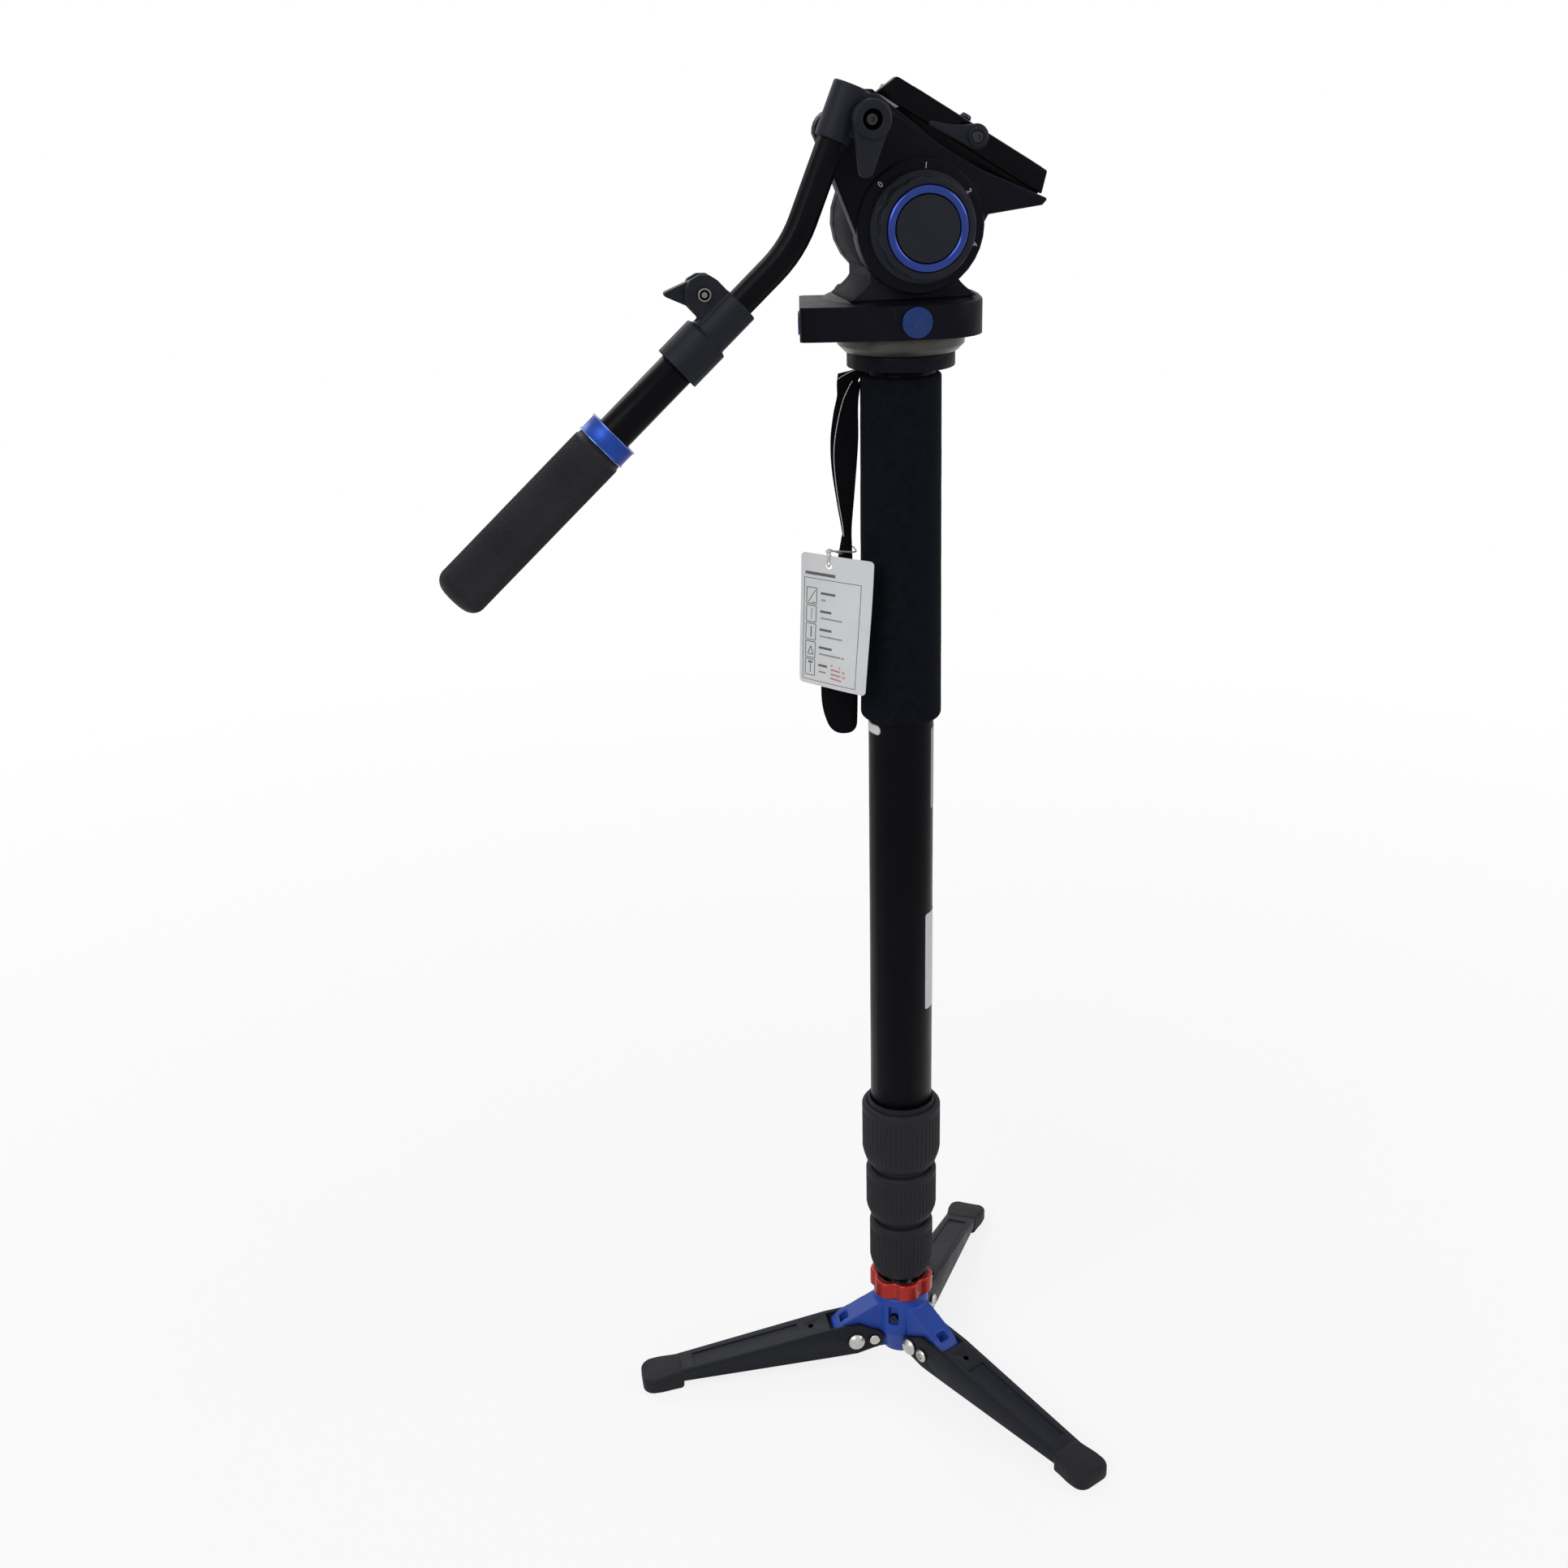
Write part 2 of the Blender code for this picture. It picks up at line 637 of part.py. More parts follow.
# Base
def arm_outline():
    """The side of one hub arm, with its pivot boss and the notch that stops the leg."""
    seat_radius = PIN_RADIUS + GAP
    root = 0.4 * HUB_RADIUS
    outline = [(root, ARM_ROOT_HEIGHT), (0.9 * HUB_RADIUS, ARM_ROOT_HEIGHT)]
    outline += [(ARM_SHOULDER, ARM_SHOULDER_HEIGHT)]
    outline += [(ARM_END, ARM_END_HEIGHT), (ARM_END, ARM_UNDERSIDE)]
    outline += [(STOP_PIN_REACH + seat_radius, ARM_UNDERSIDE)]
    outline += arc((STOP_PIN_REACH, PIVOT_HEIGHT), seat_radius, 60.0 * DEG, 150.0 * DEG)
    outline += arc((PIVOT_REACH, PIVOT_HEIGHT), ARM_BOSS_RADIUS, 15.0 * DEG, -90.0 * DEG)
    outline += [(root, PIVOT_HEIGHT - ARM_BOSS_RADIUS)]
    return outline


def make_hub():
    cavity = BALL_RADIUS + GAP + SEAT_WALL + GAP
    hub = turned([(0.0, HUB_TOP), (HUB_RADIUS - HUB_BEVEL, HUB_TOP), (HUB_RADIUS, HUB_TOP - HUB_BEVEL),
                  (HUB_RADIUS, HUB_WAIST), (HUB_FOOT_RADIUS, HUB_BOTTOM), (0.0, HUB_BOTTOM)],
                 FINE, loop=False)
    for azimuth in LEG_AZIMUTHS:
        arm = side_plate(arm_outline(), -ARM_HALF_WIDTH, ARM_HALF_WIDTH)
        hub = join(hub, move(arm, turn=(0.0, 0.0, azimuth)))
    for azimuth in LEG_AZIMUTHS:
        side = LEG_HALF_WIDTH + OVERRUN
        hole = across(cylinder(PIN_RADIUS + GAP, -side, side, COARSE))
        move(hole, (PIVOT_REACH, 0.0, PIVOT_HEIGHT))
        window = box((WINDOW_REACH - WINDOW_LENGTH / 2.0, -WINDOW_WIDTH / 2.0, ARM_UNDERSIDE - OVERRUN),
                     (WINDOW_REACH + WINDOW_LENGTH / 2.0, WINDOW_WIDTH / 2.0, ARM_ROOT_HEIGHT))
        hub = cut(hub, move(hole, turn=(0.0, 0.0, azimuth)), move(window, turn=(0.0, 0.0, azimuth)))
        for hand in (-1.0, 1.0):
            scallop = across(cylinder(LEG_EAR_RADIUS + RUN_GAP, 0.0, LEG_HALF_WIDTH, MEDIUM))
            middle = hand * (ARM_HALF_WIDTH + LEG_HALF_WIDTH / 2.0)
            move(scallop, (PIVOT_REACH, middle + LEG_HALF_WIDTH / 2.0, PIVOT_HEIGHT))
            hub = cut(hub, move(scallop, turn=(0.0, 0.0, azimuth)))
    slot_azimuth = LEG_AZIMUTHS[1] + math.pi / LEG_COUNT
    slot = box((HUB_RADIUS - SLOT_DEPTH, -SLOT_WIDTH / 2.0, SLOT_BOTTOM),
               (HUB_RADIUS + OVERRUN, SLOT_WIDTH / 2.0, SLOT_TOP))
    bore = lay_outward(cylinder(SET_SCREW_RADIUS + GAP, 0.0, SET_SCREW_LENGTH, COARSE))
    move(bore, (HUB_RADIUS - SLOT_DEPTH - 0.5 * SET_SCREW_LENGTH, 0.0, SET_SCREW_HEIGHT))
    hollow = ball_shape(cavity, (0.0, 0.0, BALL_HEIGHT), FINE)
    mouth = cylinder(cavity, BALL_HEIGHT, HUB_TOP + OVERRUN, FINE)
    hub = cut(hub, move(slot, turn=(0.0, 0.0, slot_azimuth)), move(bore, turn=(0.0, 0.0, slot_azimuth)),
              hollow, mouth)
    place(hub, "hub", "casting_blue")
    screw = lay_outward(cylinder(SET_SCREW_RADIUS, 0.0, SET_SCREW_LENGTH - GAP, COARSE))
    socket = lay_outward(cylinder(0.5 * SET_SCREW_RADIUS, SET_SCREW_LENGTH - HEX_DEPTH,
                                  SET_SCREW_LENGTH + OVERRUN, HEX))
    screw = cut(screw, socket)
    move(screw, (HUB_RADIUS - SLOT_DEPTH - 0.5 * SET_SCREW_LENGTH + GAP, 0.0, SET_SCREW_HEIGHT))
    place(move(screw, turn=(0.0, 0.0, slot_azimuth)), "set_screw", "steel")


def lay_outward(shape):
    """Turns a piece made along Z so that it points along +X."""
    return move(shape, turn=(0.0, 90.0 * DEG, 0.0))


def leg_slope():
    return (LEG_TOP_HEIGHT - LEG_TIP_TOP) / (LEG_TIP_REACH - LEG_TOP_REACH)


def leg_top(reach):
    return LEG_TOP_HEIGHT - leg_slope() * (reach - LEG_TOP_REACH)


def leg_outline():
    """The side of a leg: a round ear at the pivot, a crown over the arm, a long taper."""
    pivot = (PIVOT_REACH, PIVOT_HEIGHT)
    outline = arc(pivot, LEG_EAR_RADIUS, 270.0 * DEG, 95.0 * DEG)
    outline += [(LEG_CROWN_REACH, LEG_CROWN_HEIGHT), (LEG_TOP_REACH, LEG_TOP_HEIGHT)]
    outline += [(LEG_TIP_REACH, LEG_TIP_TOP), (LEG_TIP_REACH, LEG_TIP_BOTTOM)]
    outline += [(LEG_HEEL_REACH, LEG_HEEL_HEIGHT)]
    return outline


def leg_plan():
    start = PIVOT_REACH - LEG_EAR_RADIUS - OVERRUN
    outline = [(start, -LEG_HALF_WIDTH), (LEG_TOP_REACH, -LEG_HALF_WIDTH)]
    outline += [(LEG_TIP_REACH + OVERRUN, -LEG_TIP_HALF_WIDTH), (LEG_TIP_REACH + OVERRUN, LEG_TIP_HALF_WIDTH)]
    outline += [(LEG_TOP_REACH, LEG_HALF_WIDTH), (start, LEG_HALF_WIDTH)]
    return outline


def channel_outline():
    """The hollow under the leg's top face."""
    outline = [(LEG_TOP_REACH - OVERRUN, leg_top(LEG_TOP_REACH) - LEG_WALL)]
    outline += [(LEG_CHANNEL_END, leg_top(LEG_CHANNEL_END) - LEG_WALL)]
    outline += [(LEG_CHANNEL_END, -OVERRUN), (LEG_TOP_REACH - OVERRUN, -OVERRUN)]
    return outline


def make_leg(number, azimuth):
    gap_half = ARM_HALF_WIDTH + GAP
    leg = side_plate(leg_outline(), -LEG_HALF_WIDTH - OVERRUN, LEG_HALF_WIDTH + OVERRUN)
    leg = keep(leg, plate(leg_plan(), -OVERRUN, LEG_CROWN_HEIGHT + OVERRUN))
    arm_gap = box((-OVERRUN, -gap_half, -OVERRUN), (LEG_TOP_REACH, gap_half, ARM_ROOT_HEIGHT))
    channel_half = LEG_TIP_HALF_WIDTH - LEG_WALL
    channel = side_plate(channel_outline(), -channel_half, channel_half)
    panel = box((LEG_PANEL_START, -LEG_PANEL_HALF_WIDTH, -LEG_PANEL_DEPTH),
                (LEG_PANEL_END, LEG_PANEL_HALF_WIDTH, OVERRUN))
    move(panel, (-LEG_PANEL_START, 0.0, 0.0))
    move(panel, (LEG_PANEL_START, 0.0, leg_top(LEG_PANEL_START)), (0.0, math.atan(leg_slope()), 0.0))
    hole = cylinder(LEG_HOLE_RADIUS, 0.0, LEG_CROWN_HEIGHT, COARSE)
    move(hole, (LEG_HOLE_REACH, 0.0, PIVOT_HEIGHT))
    leg = cut(leg, arm_gap, channel, panel, hole)
    for reach in (PIVOT_REACH, STOP_PIN_REACH):
        side = LEG_HALF_WIDTH + OVERRUN
        pin_hole = across(cylinder(PIN_RADIUS + GAP, -side, side, COARSE))
        leg = cut(leg, move(pin_hole, (reach, 0.0, PIVOT_HEIGHT)))
    pivot = frame((PIVOT_REACH * math.cos(azimuth), PIVOT_REACH * math.sin(azimuth), PIVOT_HEIGHT),
                  turn=(0.0, 0.0, azimuth))
    back = (-PIVOT_REACH, 0.0, -PIVOT_HEIGHT)
    place(move(leg, back), "leg_%d" % number, "black_plastic", pivot)
    place(move(make_foot(), back), "foot_%d" % number, "black_rubber", pivot)
    place(make_pin(True), "pivot_pin_%d" % number, "steel", pivot)
    stop = move(make_pin(False), (STOP_PIN_REACH - PIVOT_REACH, 0.0, 0.0))
    place(stop, "stop_pin_%d" % number, "steel", pivot)


def make_foot():
    """A rubber boot over the leg's tip, flared and round at its corners."""
    side = [(FOOT_START, -FOOT_NECK_HALF_WIDTH), (FOOT_START + 2.0 * FOOT_CORNER, -FOOT_HALF_WIDTH)]
    side += arc((FOOT_END - FOOT_CORNER, FOOT_CORNER - FOOT_HALF_WIDTH), FOOT_CORNER, -90.0 * DEG, 0.0)
    outline = side + [(x, -y) for x, y in reversed(side)]
    foot = plate(outline, 0.0, leg_top(FOOT_START) + 2.0 * FOOT_SKIN)
    slope = side_plate([(FOOT_START - OVERRUN, -OVERRUN), (FOOT_END + OVERRUN, -OVERRUN),
                        (FOOT_END + OVERRUN, FOOT_END_HEIGHT),
                        (LEG_TIP_REACH, leg_top(LEG_TIP_REACH) + FOOT_SKIN),
                        (FOOT_START - OVERRUN, leg_top(FOOT_START - OVERRUN) + FOOT_SKIN)],
                       -2.0 * FOOT_HALF_WIDTH, 2.0 * FOOT_HALF_WIDTH)
    foot = baked(soften(keep(foot, slope), FOOT_BEVEL))
    tip = side_plate(
        [(FOOT_START - OVERRUN, leg_top(FOOT_START - OVERRUN) + GAP),
         (LEG_TIP_REACH + GAP, leg_top(LEG_TIP_REACH) + GAP),
         (LEG_TIP_REACH + GAP, LEG_TIP_BOTTOM - GAP),
         (FOOT_START - OVERRUN, LEG_TIP_BOTTOM - GAP)],
        -LEG_TIP_HALF_WIDTH - 2.0 * GAP, LEG_TIP_HALF_WIDTH + 2.0 * GAP)
    return cut(foot, tip)


def make_pin(is_pivot):
    """A cross pin: a dome on one end, a small rivet end or a socket cap on the other."""
    reach = LEG_HALF_WIDTH + GAP
    if is_pivot:
        end_radius, end_height = RIVET_RADIUS, RIVET_HEIGHT
    else:
        end_radius, end_height = CAP_RADIUS, CAP_HEIGHT
    dome = [(DOME_RADIUS * math.sin(a * 15.0 * DEG), reach + DOME_HEIGHT * math.cos(a * 15.0 * DEG))
            for a in range(7)]
    profile = dome + [(PIN_RADIUS, reach), (PIN_RADIUS, -reach)]
    profile += [(end_radius, -reach), (end_radius, -reach - 0.6 * end_height)]
    profile += [(0.7 * end_radius, -reach - end_height), (0.0, -reach - end_height)]
    pin = turned(profile, COARSE, loop=False)
    if not is_pivot:
        pin = cut(pin, cylinder(HEX_RADIUS, -reach - end_height - OVERRUN, HEX_DEPTH - reach - end_height, HEX))
        return move(across(pin), turn=(0.0, 0.0, math.pi))
    return across(pin)


def make_ball_joint():
    seat_inner = BALL_RADIUS + GAP
    seat_outer = seat_inner + SEAT_WALL
    low = -math.asin(SEAT_LOW / seat_outer)
    high = -math.asin(SEAT_HIGH / seat_outer)
    steps = 6
    angles = [high + (low - high) * i / steps for i in range(steps + 1)]
    outer = [(seat_outer * math.cos(a), BALL_HEIGHT + seat_outer * math.sin(a)) for a in angles]
    inner = [(seat_inner * math.cos(a), BALL_HEIGHT + seat_inner * math.sin(a)) for a in reversed(angles)]
    place(turned(outer + inner, MEDIUM), "ball_seat", "nylon")
    ball = ball_shape(BALL_RADIUS, (0.0, 0.0, BALL_HEIGHT))
    stem = turned([(0.0, STEM_TOP + SPIGOT_LENGTH), (SPIGOT_RADIUS, STEM_TOP + SPIGOT_LENGTH),
                   (SPIGOT_RADIUS, STEM_TOP), (STEM_RADIUS, STEM_TOP), (STEM_RADIUS, BALL_HEIGHT),
                   (0.0, BALL_HEIGHT)], MEDIUM, loop=False)
    place(join(ball, stem), "ball", "steel")
    lip_top = HUB_TOP + GAP + LOCK_RING_LIP_HEIGHT
    ring = plate(lobed_outline(LOCK_RING_RADIUS, LOCK_RING_SCALLOP, LOCK_RING_LOBES, 3.0, 8),
                 HUB_TOP + GAP, LOCK_RING_TOP)
    ring = baked(soften(ring, LOCK_RING_BEVEL, 1))
    ring = cut(ring, cylinder(LOCK_RING_BORE, lip_top, LOCK_RING_TOP + OVERRUN, FINE),
               cylinder(LOCK_RING_LIP, HUB_TOP - OVERRUN, lip_top + OVERRUN, FINE))
    place(ring, "lock_ring", "anodised_red")
    make_foot_plug()


def make_foot_plug():
    """The neck under the last tube: a flange, a plug inside the tube and a bore for the spigot."""
    flange = TUBE_RADII[3]
    inside = TUBE_RADII[3] - TUBE_WALL - GAP
    flange_top = TUBE_FOOT - GAP
    flange_bottom = flange_top - PLUG_FLANGE_HEIGHT
    bore = SPIGOT_RADIUS + GAP
    bore_top = STEM_TOP + SPIGOT_LENGTH + GAP
    plug = turned([(0.0, TUBE_FOOT + PLUG_LENGTH), (inside, TUBE_FOOT + PLUG_LENGTH), (inside, flange_top),
                   (flange, flange_top), (flange, flange_bottom), (NECK_RADIUS, flange_bottom),
                   (NECK_RADIUS, NECK_BOTTOM), (bore, NECK_BOTTOM), (bore, bore_top), (0.0, bore_top)],
                  MEDIUM, loop=False)
    place(plug, "foot_plug", "black_plastic")


# Column
def make_column():
    for i, radius in enumerate(TUBE_RADII):
        bottom = COLLAR_TOPS[i] - FERRULE_LENGTHS[i] if i < 3 else TUBE_FOOT
        place(pipe(radius, radius - TUBE_WALL, bottom, TUBE_TOPS[i]), "tube_%d" % (i + 1), "black_tube")
    for i in range(3):
        make_twist_lock(i)


def make_twist_lock(i):
    """A threaded ferrule round the tube's lower end, its fingers, and the collar that turns on it."""
    tube, inner_tube = TUBE_RADII[i], TUBE_RADII[i + 1]
    sleeve_inner = tube + GAP
    sleeve_outer = sleeve_inner + FERRULE_WALL
    top = COLLAR_TOPS[i] + FERRULE_PROUD
    tube_bottom = COLLAR_TOPS[i] - FERRULE_LENGTHS[i]
    finger_top = tube_bottom - GAP
    finger_bottom = finger_top - FINGER_LENGTH
    finger_inner = inner_tube + GAP
    ferrule = turned([(sleeve_outer, top), (sleeve_outer, finger_top),
                      (finger_inner + FERRULE_WALL, finger_bottom), (finger_inner, finger_bottom),
                      (finger_inner, finger_top), (sleeve_inner, finger_top), (sleeve_inner, top)])
    place(ferrule, "ferrule_%d" % (i + 1), "black_plastic")
    bottom, crest = COLLAR_BOTTOMS[i], COLLAR_TOPS[i]
    outer, mouth, taper = COLLAR_RADII[i], COLLAR_MOUTH_RADII[i], COLLAR_TAPERS[i]
    cavity = sleeve_outer + GAP
    lip_inner = inner_tube + RUN_GAP
    lip_top = min(bottom + COLLAR_LIP, finger_bottom - GAP)
    profile = [(outer - COLLAR_ROUND, crest)]
    profile += [(outer - COLLAR_ROUND * (1.0 - math.sin(a)), crest - COLLAR_ROUND * (1.0 - math.cos(a)))
                for a in (30.0 * DEG, 60.0 * DEG, 90.0 * DEG)]
    profile += [(outer, bottom + taper), (0.35 * outer + 0.65 * mouth, bottom + 0.3 * taper), (mouth, bottom)]
    profile += [(lip_inner, bottom), (lip_inner, lip_top), (finger_inner + FERRULE_WALL + GAP, lip_top)]
    profile += [(cavity, finger_top), (cavity, crest)]
    place(turned(profile), "collar_%d" % (i + 1), "black_rubber")


def make_grip():
    inner = TUBE_RADII[0] + GAP
    profile = []
    for a in (0.0, 30.0 * DEG, 60.0 * DEG, 90.0 * DEG):
        profile.append((GRIP_RADIUS_TOP - GRIP_ROUND / 2.0 * (1.0 - math.sin(a)),
                        GRIP_TOP - GRIP_ROUND / 2.0 * (1.0 - math.cos(a))))
    for a in (90.0 * DEG, 60.0 * DEG, 30.0 * DEG, 0.0):
        profile.append((GRIP_RADIUS_BOTTOM - GRIP_ROUND * (1.0 - math.sin(a)),
                        GRIP_BOTTOM + GRIP_ROUND * (1.0 - math.cos(a))))
    profile += [(inner, GRIP_BOTTOM), (inner, GRIP_TOP)]
    place(turned(profile), "foam_grip", "black_foam")


def make_strap():
    """A doubled webbing loop beside the grip: it bows out, draws in at the tag and ends in a pad."""
    under = GRIP_TOP + GAP
    inner_end = TUBE_RADII[0] + GAP
    outline = [(inner_end, STRAP_TOP), (STRAP_SIDE, STRAP_TOP), (STRAP_KNEE, STRAP_TOP - STRAP_KNEE_DROP)]
    outline += [(STRAP_KNEE, STRAP_TOP - 2.0 * STRAP_KNEE_DROP), (STRAP_BOW, STRAP_TOP - STRAP_BOW_DROP)]
    outline += [(STRAP_WAIST_OUTER, STRAP_TOP - STRAP_WAIST_DROP), (STRAP_PAD, STRAP_TOP - STRAP_PAD_DROP)]
    outline += [(STRAP_END_OUTER, STRAP_TOP - STRAP_END_DROP), (STRAP_END_INNER, STRAP_TOP - STRAP_END_DROP)]
    outline += [(STRAP_PAD_INNER, STRAP_TOP - STRAP_PAD_DROP), (STRAP_WAIST_INNER, STRAP_TOP - STRAP_WAIST_DROP)]
    outline += [(STRAP_SIDE, STRAP_TOP - STRAP_SIDE_DROP), (STRAP_SIDE, under), (inner_end, under)]
    strap = side_plate(outline, -STRAP_THICKNESS / 2.0, STRAP_THICKNESS / 2.0)
    strap = baked(soften(strap, STRAP_BEVEL, 1, 60.0 * DEG))
    place(move(strap, turn=(0.0, 0.0, STRAP_AZIMUTH)), "wrist_strap", "black_webbing")


def make_tag():
    """A card that hangs beside the grip on a thin ring of cord round the strap."""
    card = plate(rounded_box_outline(-TAG_WIDTH / 2.0, TAG_WIDTH / 2.0, -TAG_HEIGHT / 2.0, TAG_HEIGHT / 2.0,
                                     TAG_CORNER), -TAG_THICKNESS / 2.0, TAG_THICKNESS / 2.0)
    hole = cylinder(TAG_HOLE_RADIUS, -OVERRUN, OVERRUN, COARSE)
    hole_drop = TAG_HEIGHT / 2.0 - TAG_HOLE_DROP
    card = cut(card, move(hole, (0.0, hole_drop, 0.0)))
    hang = Matrix.Rotation(TAG_AZIMUTH + 90.0 * DEG, 4, "Z")
    hang = hang @ Matrix.Translation((-TAG_SIDE, -TAG_FRONT, TAG_MIDDLE_HEIGHT))
    hang = hang @ euler_matrix((0.0, 0.0, -TAG_YAW)) @ euler_matrix((90.0 * DEG, 0.0, 0.0))
    hang = hang @ euler_matrix((0.0, 0.0, -TAG_LEAN))
    card.data.transform(hang)
    place(card, "hang_tag", "white_card")
    over = TAG_HOLE_DROP + 2.0 * LOOP_CLEARANCE
    front = 2.0 * LOOP_CLEARANCE
    path = [hang @ Vector((0.0, hole_drop + 0.5 * TAG_HOLE_RADIUS, -front)), hang @ Vector((0.0, hole_drop, 0.0)),
            hang @ Vector((0.0, hole_drop + 0.5 * TAG_HOLE_RADIUS, front)),
            hang @ Vector((0.0, hole_drop + over, front)), hang @ Vector((0.0, hole_drop + over + front, 0.0))]
    height = STRAP_TOP - STRAP_WAIST_DROP
    inner = STRAP_WAIST_INNER - LOOP_CLEARANCE
    outer = STRAP_WAIST_OUTER + LOOP_CLEARANCE
    edge = STRAP_THICKNESS / 2.0 + LOOP_CLEARANCE
    turn = Matrix.Rotation(STRAP_AZIMUTH, 4, "Z")
    path += [turn @ Vector((inner, edge, height)), turn @ Vector((inner, -edge, height)),
             turn @ Vector((outer, -edge, height)), turn @ Vector((outer, edge, height))]
    place(rod(path, LOOP_RADIUS, 1, True), "tag_loop", "black_webbing")


# Head base
def make_head_base():
    bore = HEAD_SCREW_RADIUS + GAP
    disc_top = DISC_BOTTOM + DISC_HEIGHT
    plug = TUBE_RADII[0] - TUBE_WALL - GAP
    plug_bottom = DISC_BOTTOM - DISC_PLUG_LENGTH
    disc = turned([(DISC_RADIUS, disc_top), (DISC_RADIUS, DISC_BOTTOM), (plug, DISC_BOTTOM),
                   (plug, plug_bottom), (bore, plug_bottom), (bore, disc_top)])
    place(disc, "top_disc", "black_casting")
    place(cylinder(HEAD_SCREW_RADIUS, HEAD_SCREW_BOTTOM, HEAD_SCREW_TOP, COARSE), "head_screw", "steel")
    base_bottom = disc_top + GAP
    base_top = base_bottom + BASE_HEIGHT
    spigot_top = base_top + PAN_SPIGOT_HEIGHT
    screw_end = HEAD_SCREW_TOP + GAP
    base = turned([(0.0, spigot_top), (PAN_SPIGOT_RADIUS, spigot_top), (PAN_SPIGOT_RADIUS, base_top),
                   (BASE_RADIUS, base_top), (BASE_RADIUS, base_bottom + BASE_CHAMFER),
                   (BASE_RADIUS - BASE_CHAMFER, base_bottom), (bore, base_bottom), (bore, screw_end),
                   (0.0, screw_end)], FINE, loop=False)
    place(base, "base_plate", "grey_alloy")


def radial(azimuth, distance, height):
    return (distance * math.cos(azimuth), distance * math.sin(azimuth), height)


def make_pan_housing():
    """The turning ring with its side block, two round insert seats and the lock knob's boss."""
    top = PAN_BOTTOM + PAN_HEIGHT
    bore = PAN_SPIGOT_RADIUS + GAP
    bore_top = DISC_BOTTOM + DISC_HEIGHT + GAP + BASE_HEIGHT + PAN_SPIGOT_HEIGHT + GAP
    ring = turned([(0.0, top + PAN_CROWN), (PAN_CROWN_RADIUS, top + PAN_CROWN),
                   (PAN_RADIUS - PAN_BEVEL, top), (PAN_RADIUS, top - PAN_BEVEL),
                   (PAN_RADIUS, PAN_BOTTOM + PAN_BEVEL), (PAN_RADIUS - PAN_BEVEL, PAN_BOTTOM),
                   (0.0, PAN_BOTTOM)], FINE, loop=False)
    corner = (-PAN_CORNER_BACK, PAN_CORNER_OUT)
    across_face = BADGE_FACET_AZIMUTH - BLOCK_AZIMUTH
    kink = (BADGE_FACET_OFFSET - BLOCK_FRONT * math.sin(across_face)) / math.cos(across_face)
    outline = [(-PAN_CORNER_BACK, -BLOCK_BACK)] + arc(corner, PAN_CORNER_RADIUS, 200.0 * DEG, 99.0 * DEG)
    outline += [(kink, BLOCK_FRONT)]
    outline += arc((BLOCK_REACH - BLOCK_CORNER, BLOCK_FRONT - BLOCK_CORNER), BLOCK_CORNER, 90.0 * DEG, 0.0)
    outline += arc((BLOCK_REACH - BLOCK_CORNER, BLOCK_CORNER - BLOCK_BACK), BLOCK_CORNER, 0.0, -90.0 * DEG)
    block = plate(outline, PAN_BOTTOM, top - GAP)
    block = baked(soften(block, BLOCK_EDGE, 2, 60.0 * DEG))
    ring = join(ring, move(block, turn=(0.0, 0.0, BLOCK_AZIMUTH)))
    facet = box((BADGE_FACET_OFFSET, -PAN_RADIUS, PAN_BOTTOM - OVERRUN),
                (PAN_RADIUS + OVERRUN, PAN_RADIUS, top + OVERRUN))
    ring = cut(ring, move(facet, turn=(0.0, 0.0, BADGE_FACET_AZIMUTH)))
    middle = PAN_BOTTOM + PAN_HEIGHT / 2.0
    seats = ((BADGE_FACET_AZIMUTH, BADGE_FACET_OFFSET, 0.0, BADGE_RADIUS, "pan_badge_front"),
             (BLOCK_AZIMUTH, BLOCK_REACH, BLOCK_FRONT - SIDE_BADGE_INSET, SIDE_BADGE_RADIUS, "pan_badge_side"))
    for azimuth, distance, sideways, radius, name in seats:
        seat = lay_outward(cylinder(radius + GAP, 0.0, BADGE_DEPTH + OVERRUN, COARSE))
        move(seat, (distance - BADGE_DEPTH, sideways, middle))
        ring = cut(ring, move(seat, turn=(0.0, 0.0, azimuth)))
        badge = lay_outward(cylinder(radius, GAP, BADGE_DEPTH + BADGE_PROUD, COARSE))
        move(badge, (distance - BADGE_DEPTH, sideways, middle))
        place(move(badge, turn=(0.0, 0.0, azimuth)), name, "anodised_blue", PAN)
    stem = lay_outward(cylinder(PAN_KNOB_STEM_RADIUS + GAP, 0.0, PAN_KNOB_STEM, COARSE))
    move(stem, (PAN_RADIUS - PAN_KNOB_STEM + GAP, 0.0, middle))
    ring = cut(ring, move(stem, turn=(0.0, 0.0, PAN_KNOB_AZIMUTH)),
               cylinder(bore, PAN_BOTTOM - OVERRUN, bore_top, FINE))
    place(ring, "pan_housing", "black_casting", PAN)
    knob = plate(lobed_outline(PAN_KNOB_RADIUS, 0.1 * PAN_KNOB_RADIUS, 8, 1.0, 4), GAP, PAN_KNOB_LENGTH)
    knob = baked(soften(knob, 0.1 * PAN_KNOB_RADIUS, 1, 60.0 * DEG))
    knob = join(knob, cylinder(PAN_KNOB_STEM_RADIUS, GAP - PAN_KNOB_STEM + GAP, PAN_KNOB_LENGTH / 2.0, COARSE))
    knob_at = frame(radial(PAN_KNOB_AZIMUTH, PAN_RADIUS, middle), PAN, (0.0, 0.0, PAN_KNOB_AZIMUTH))
    place(lay_outward(knob), "pan_lock_knob", "black_plastic", knob_at)


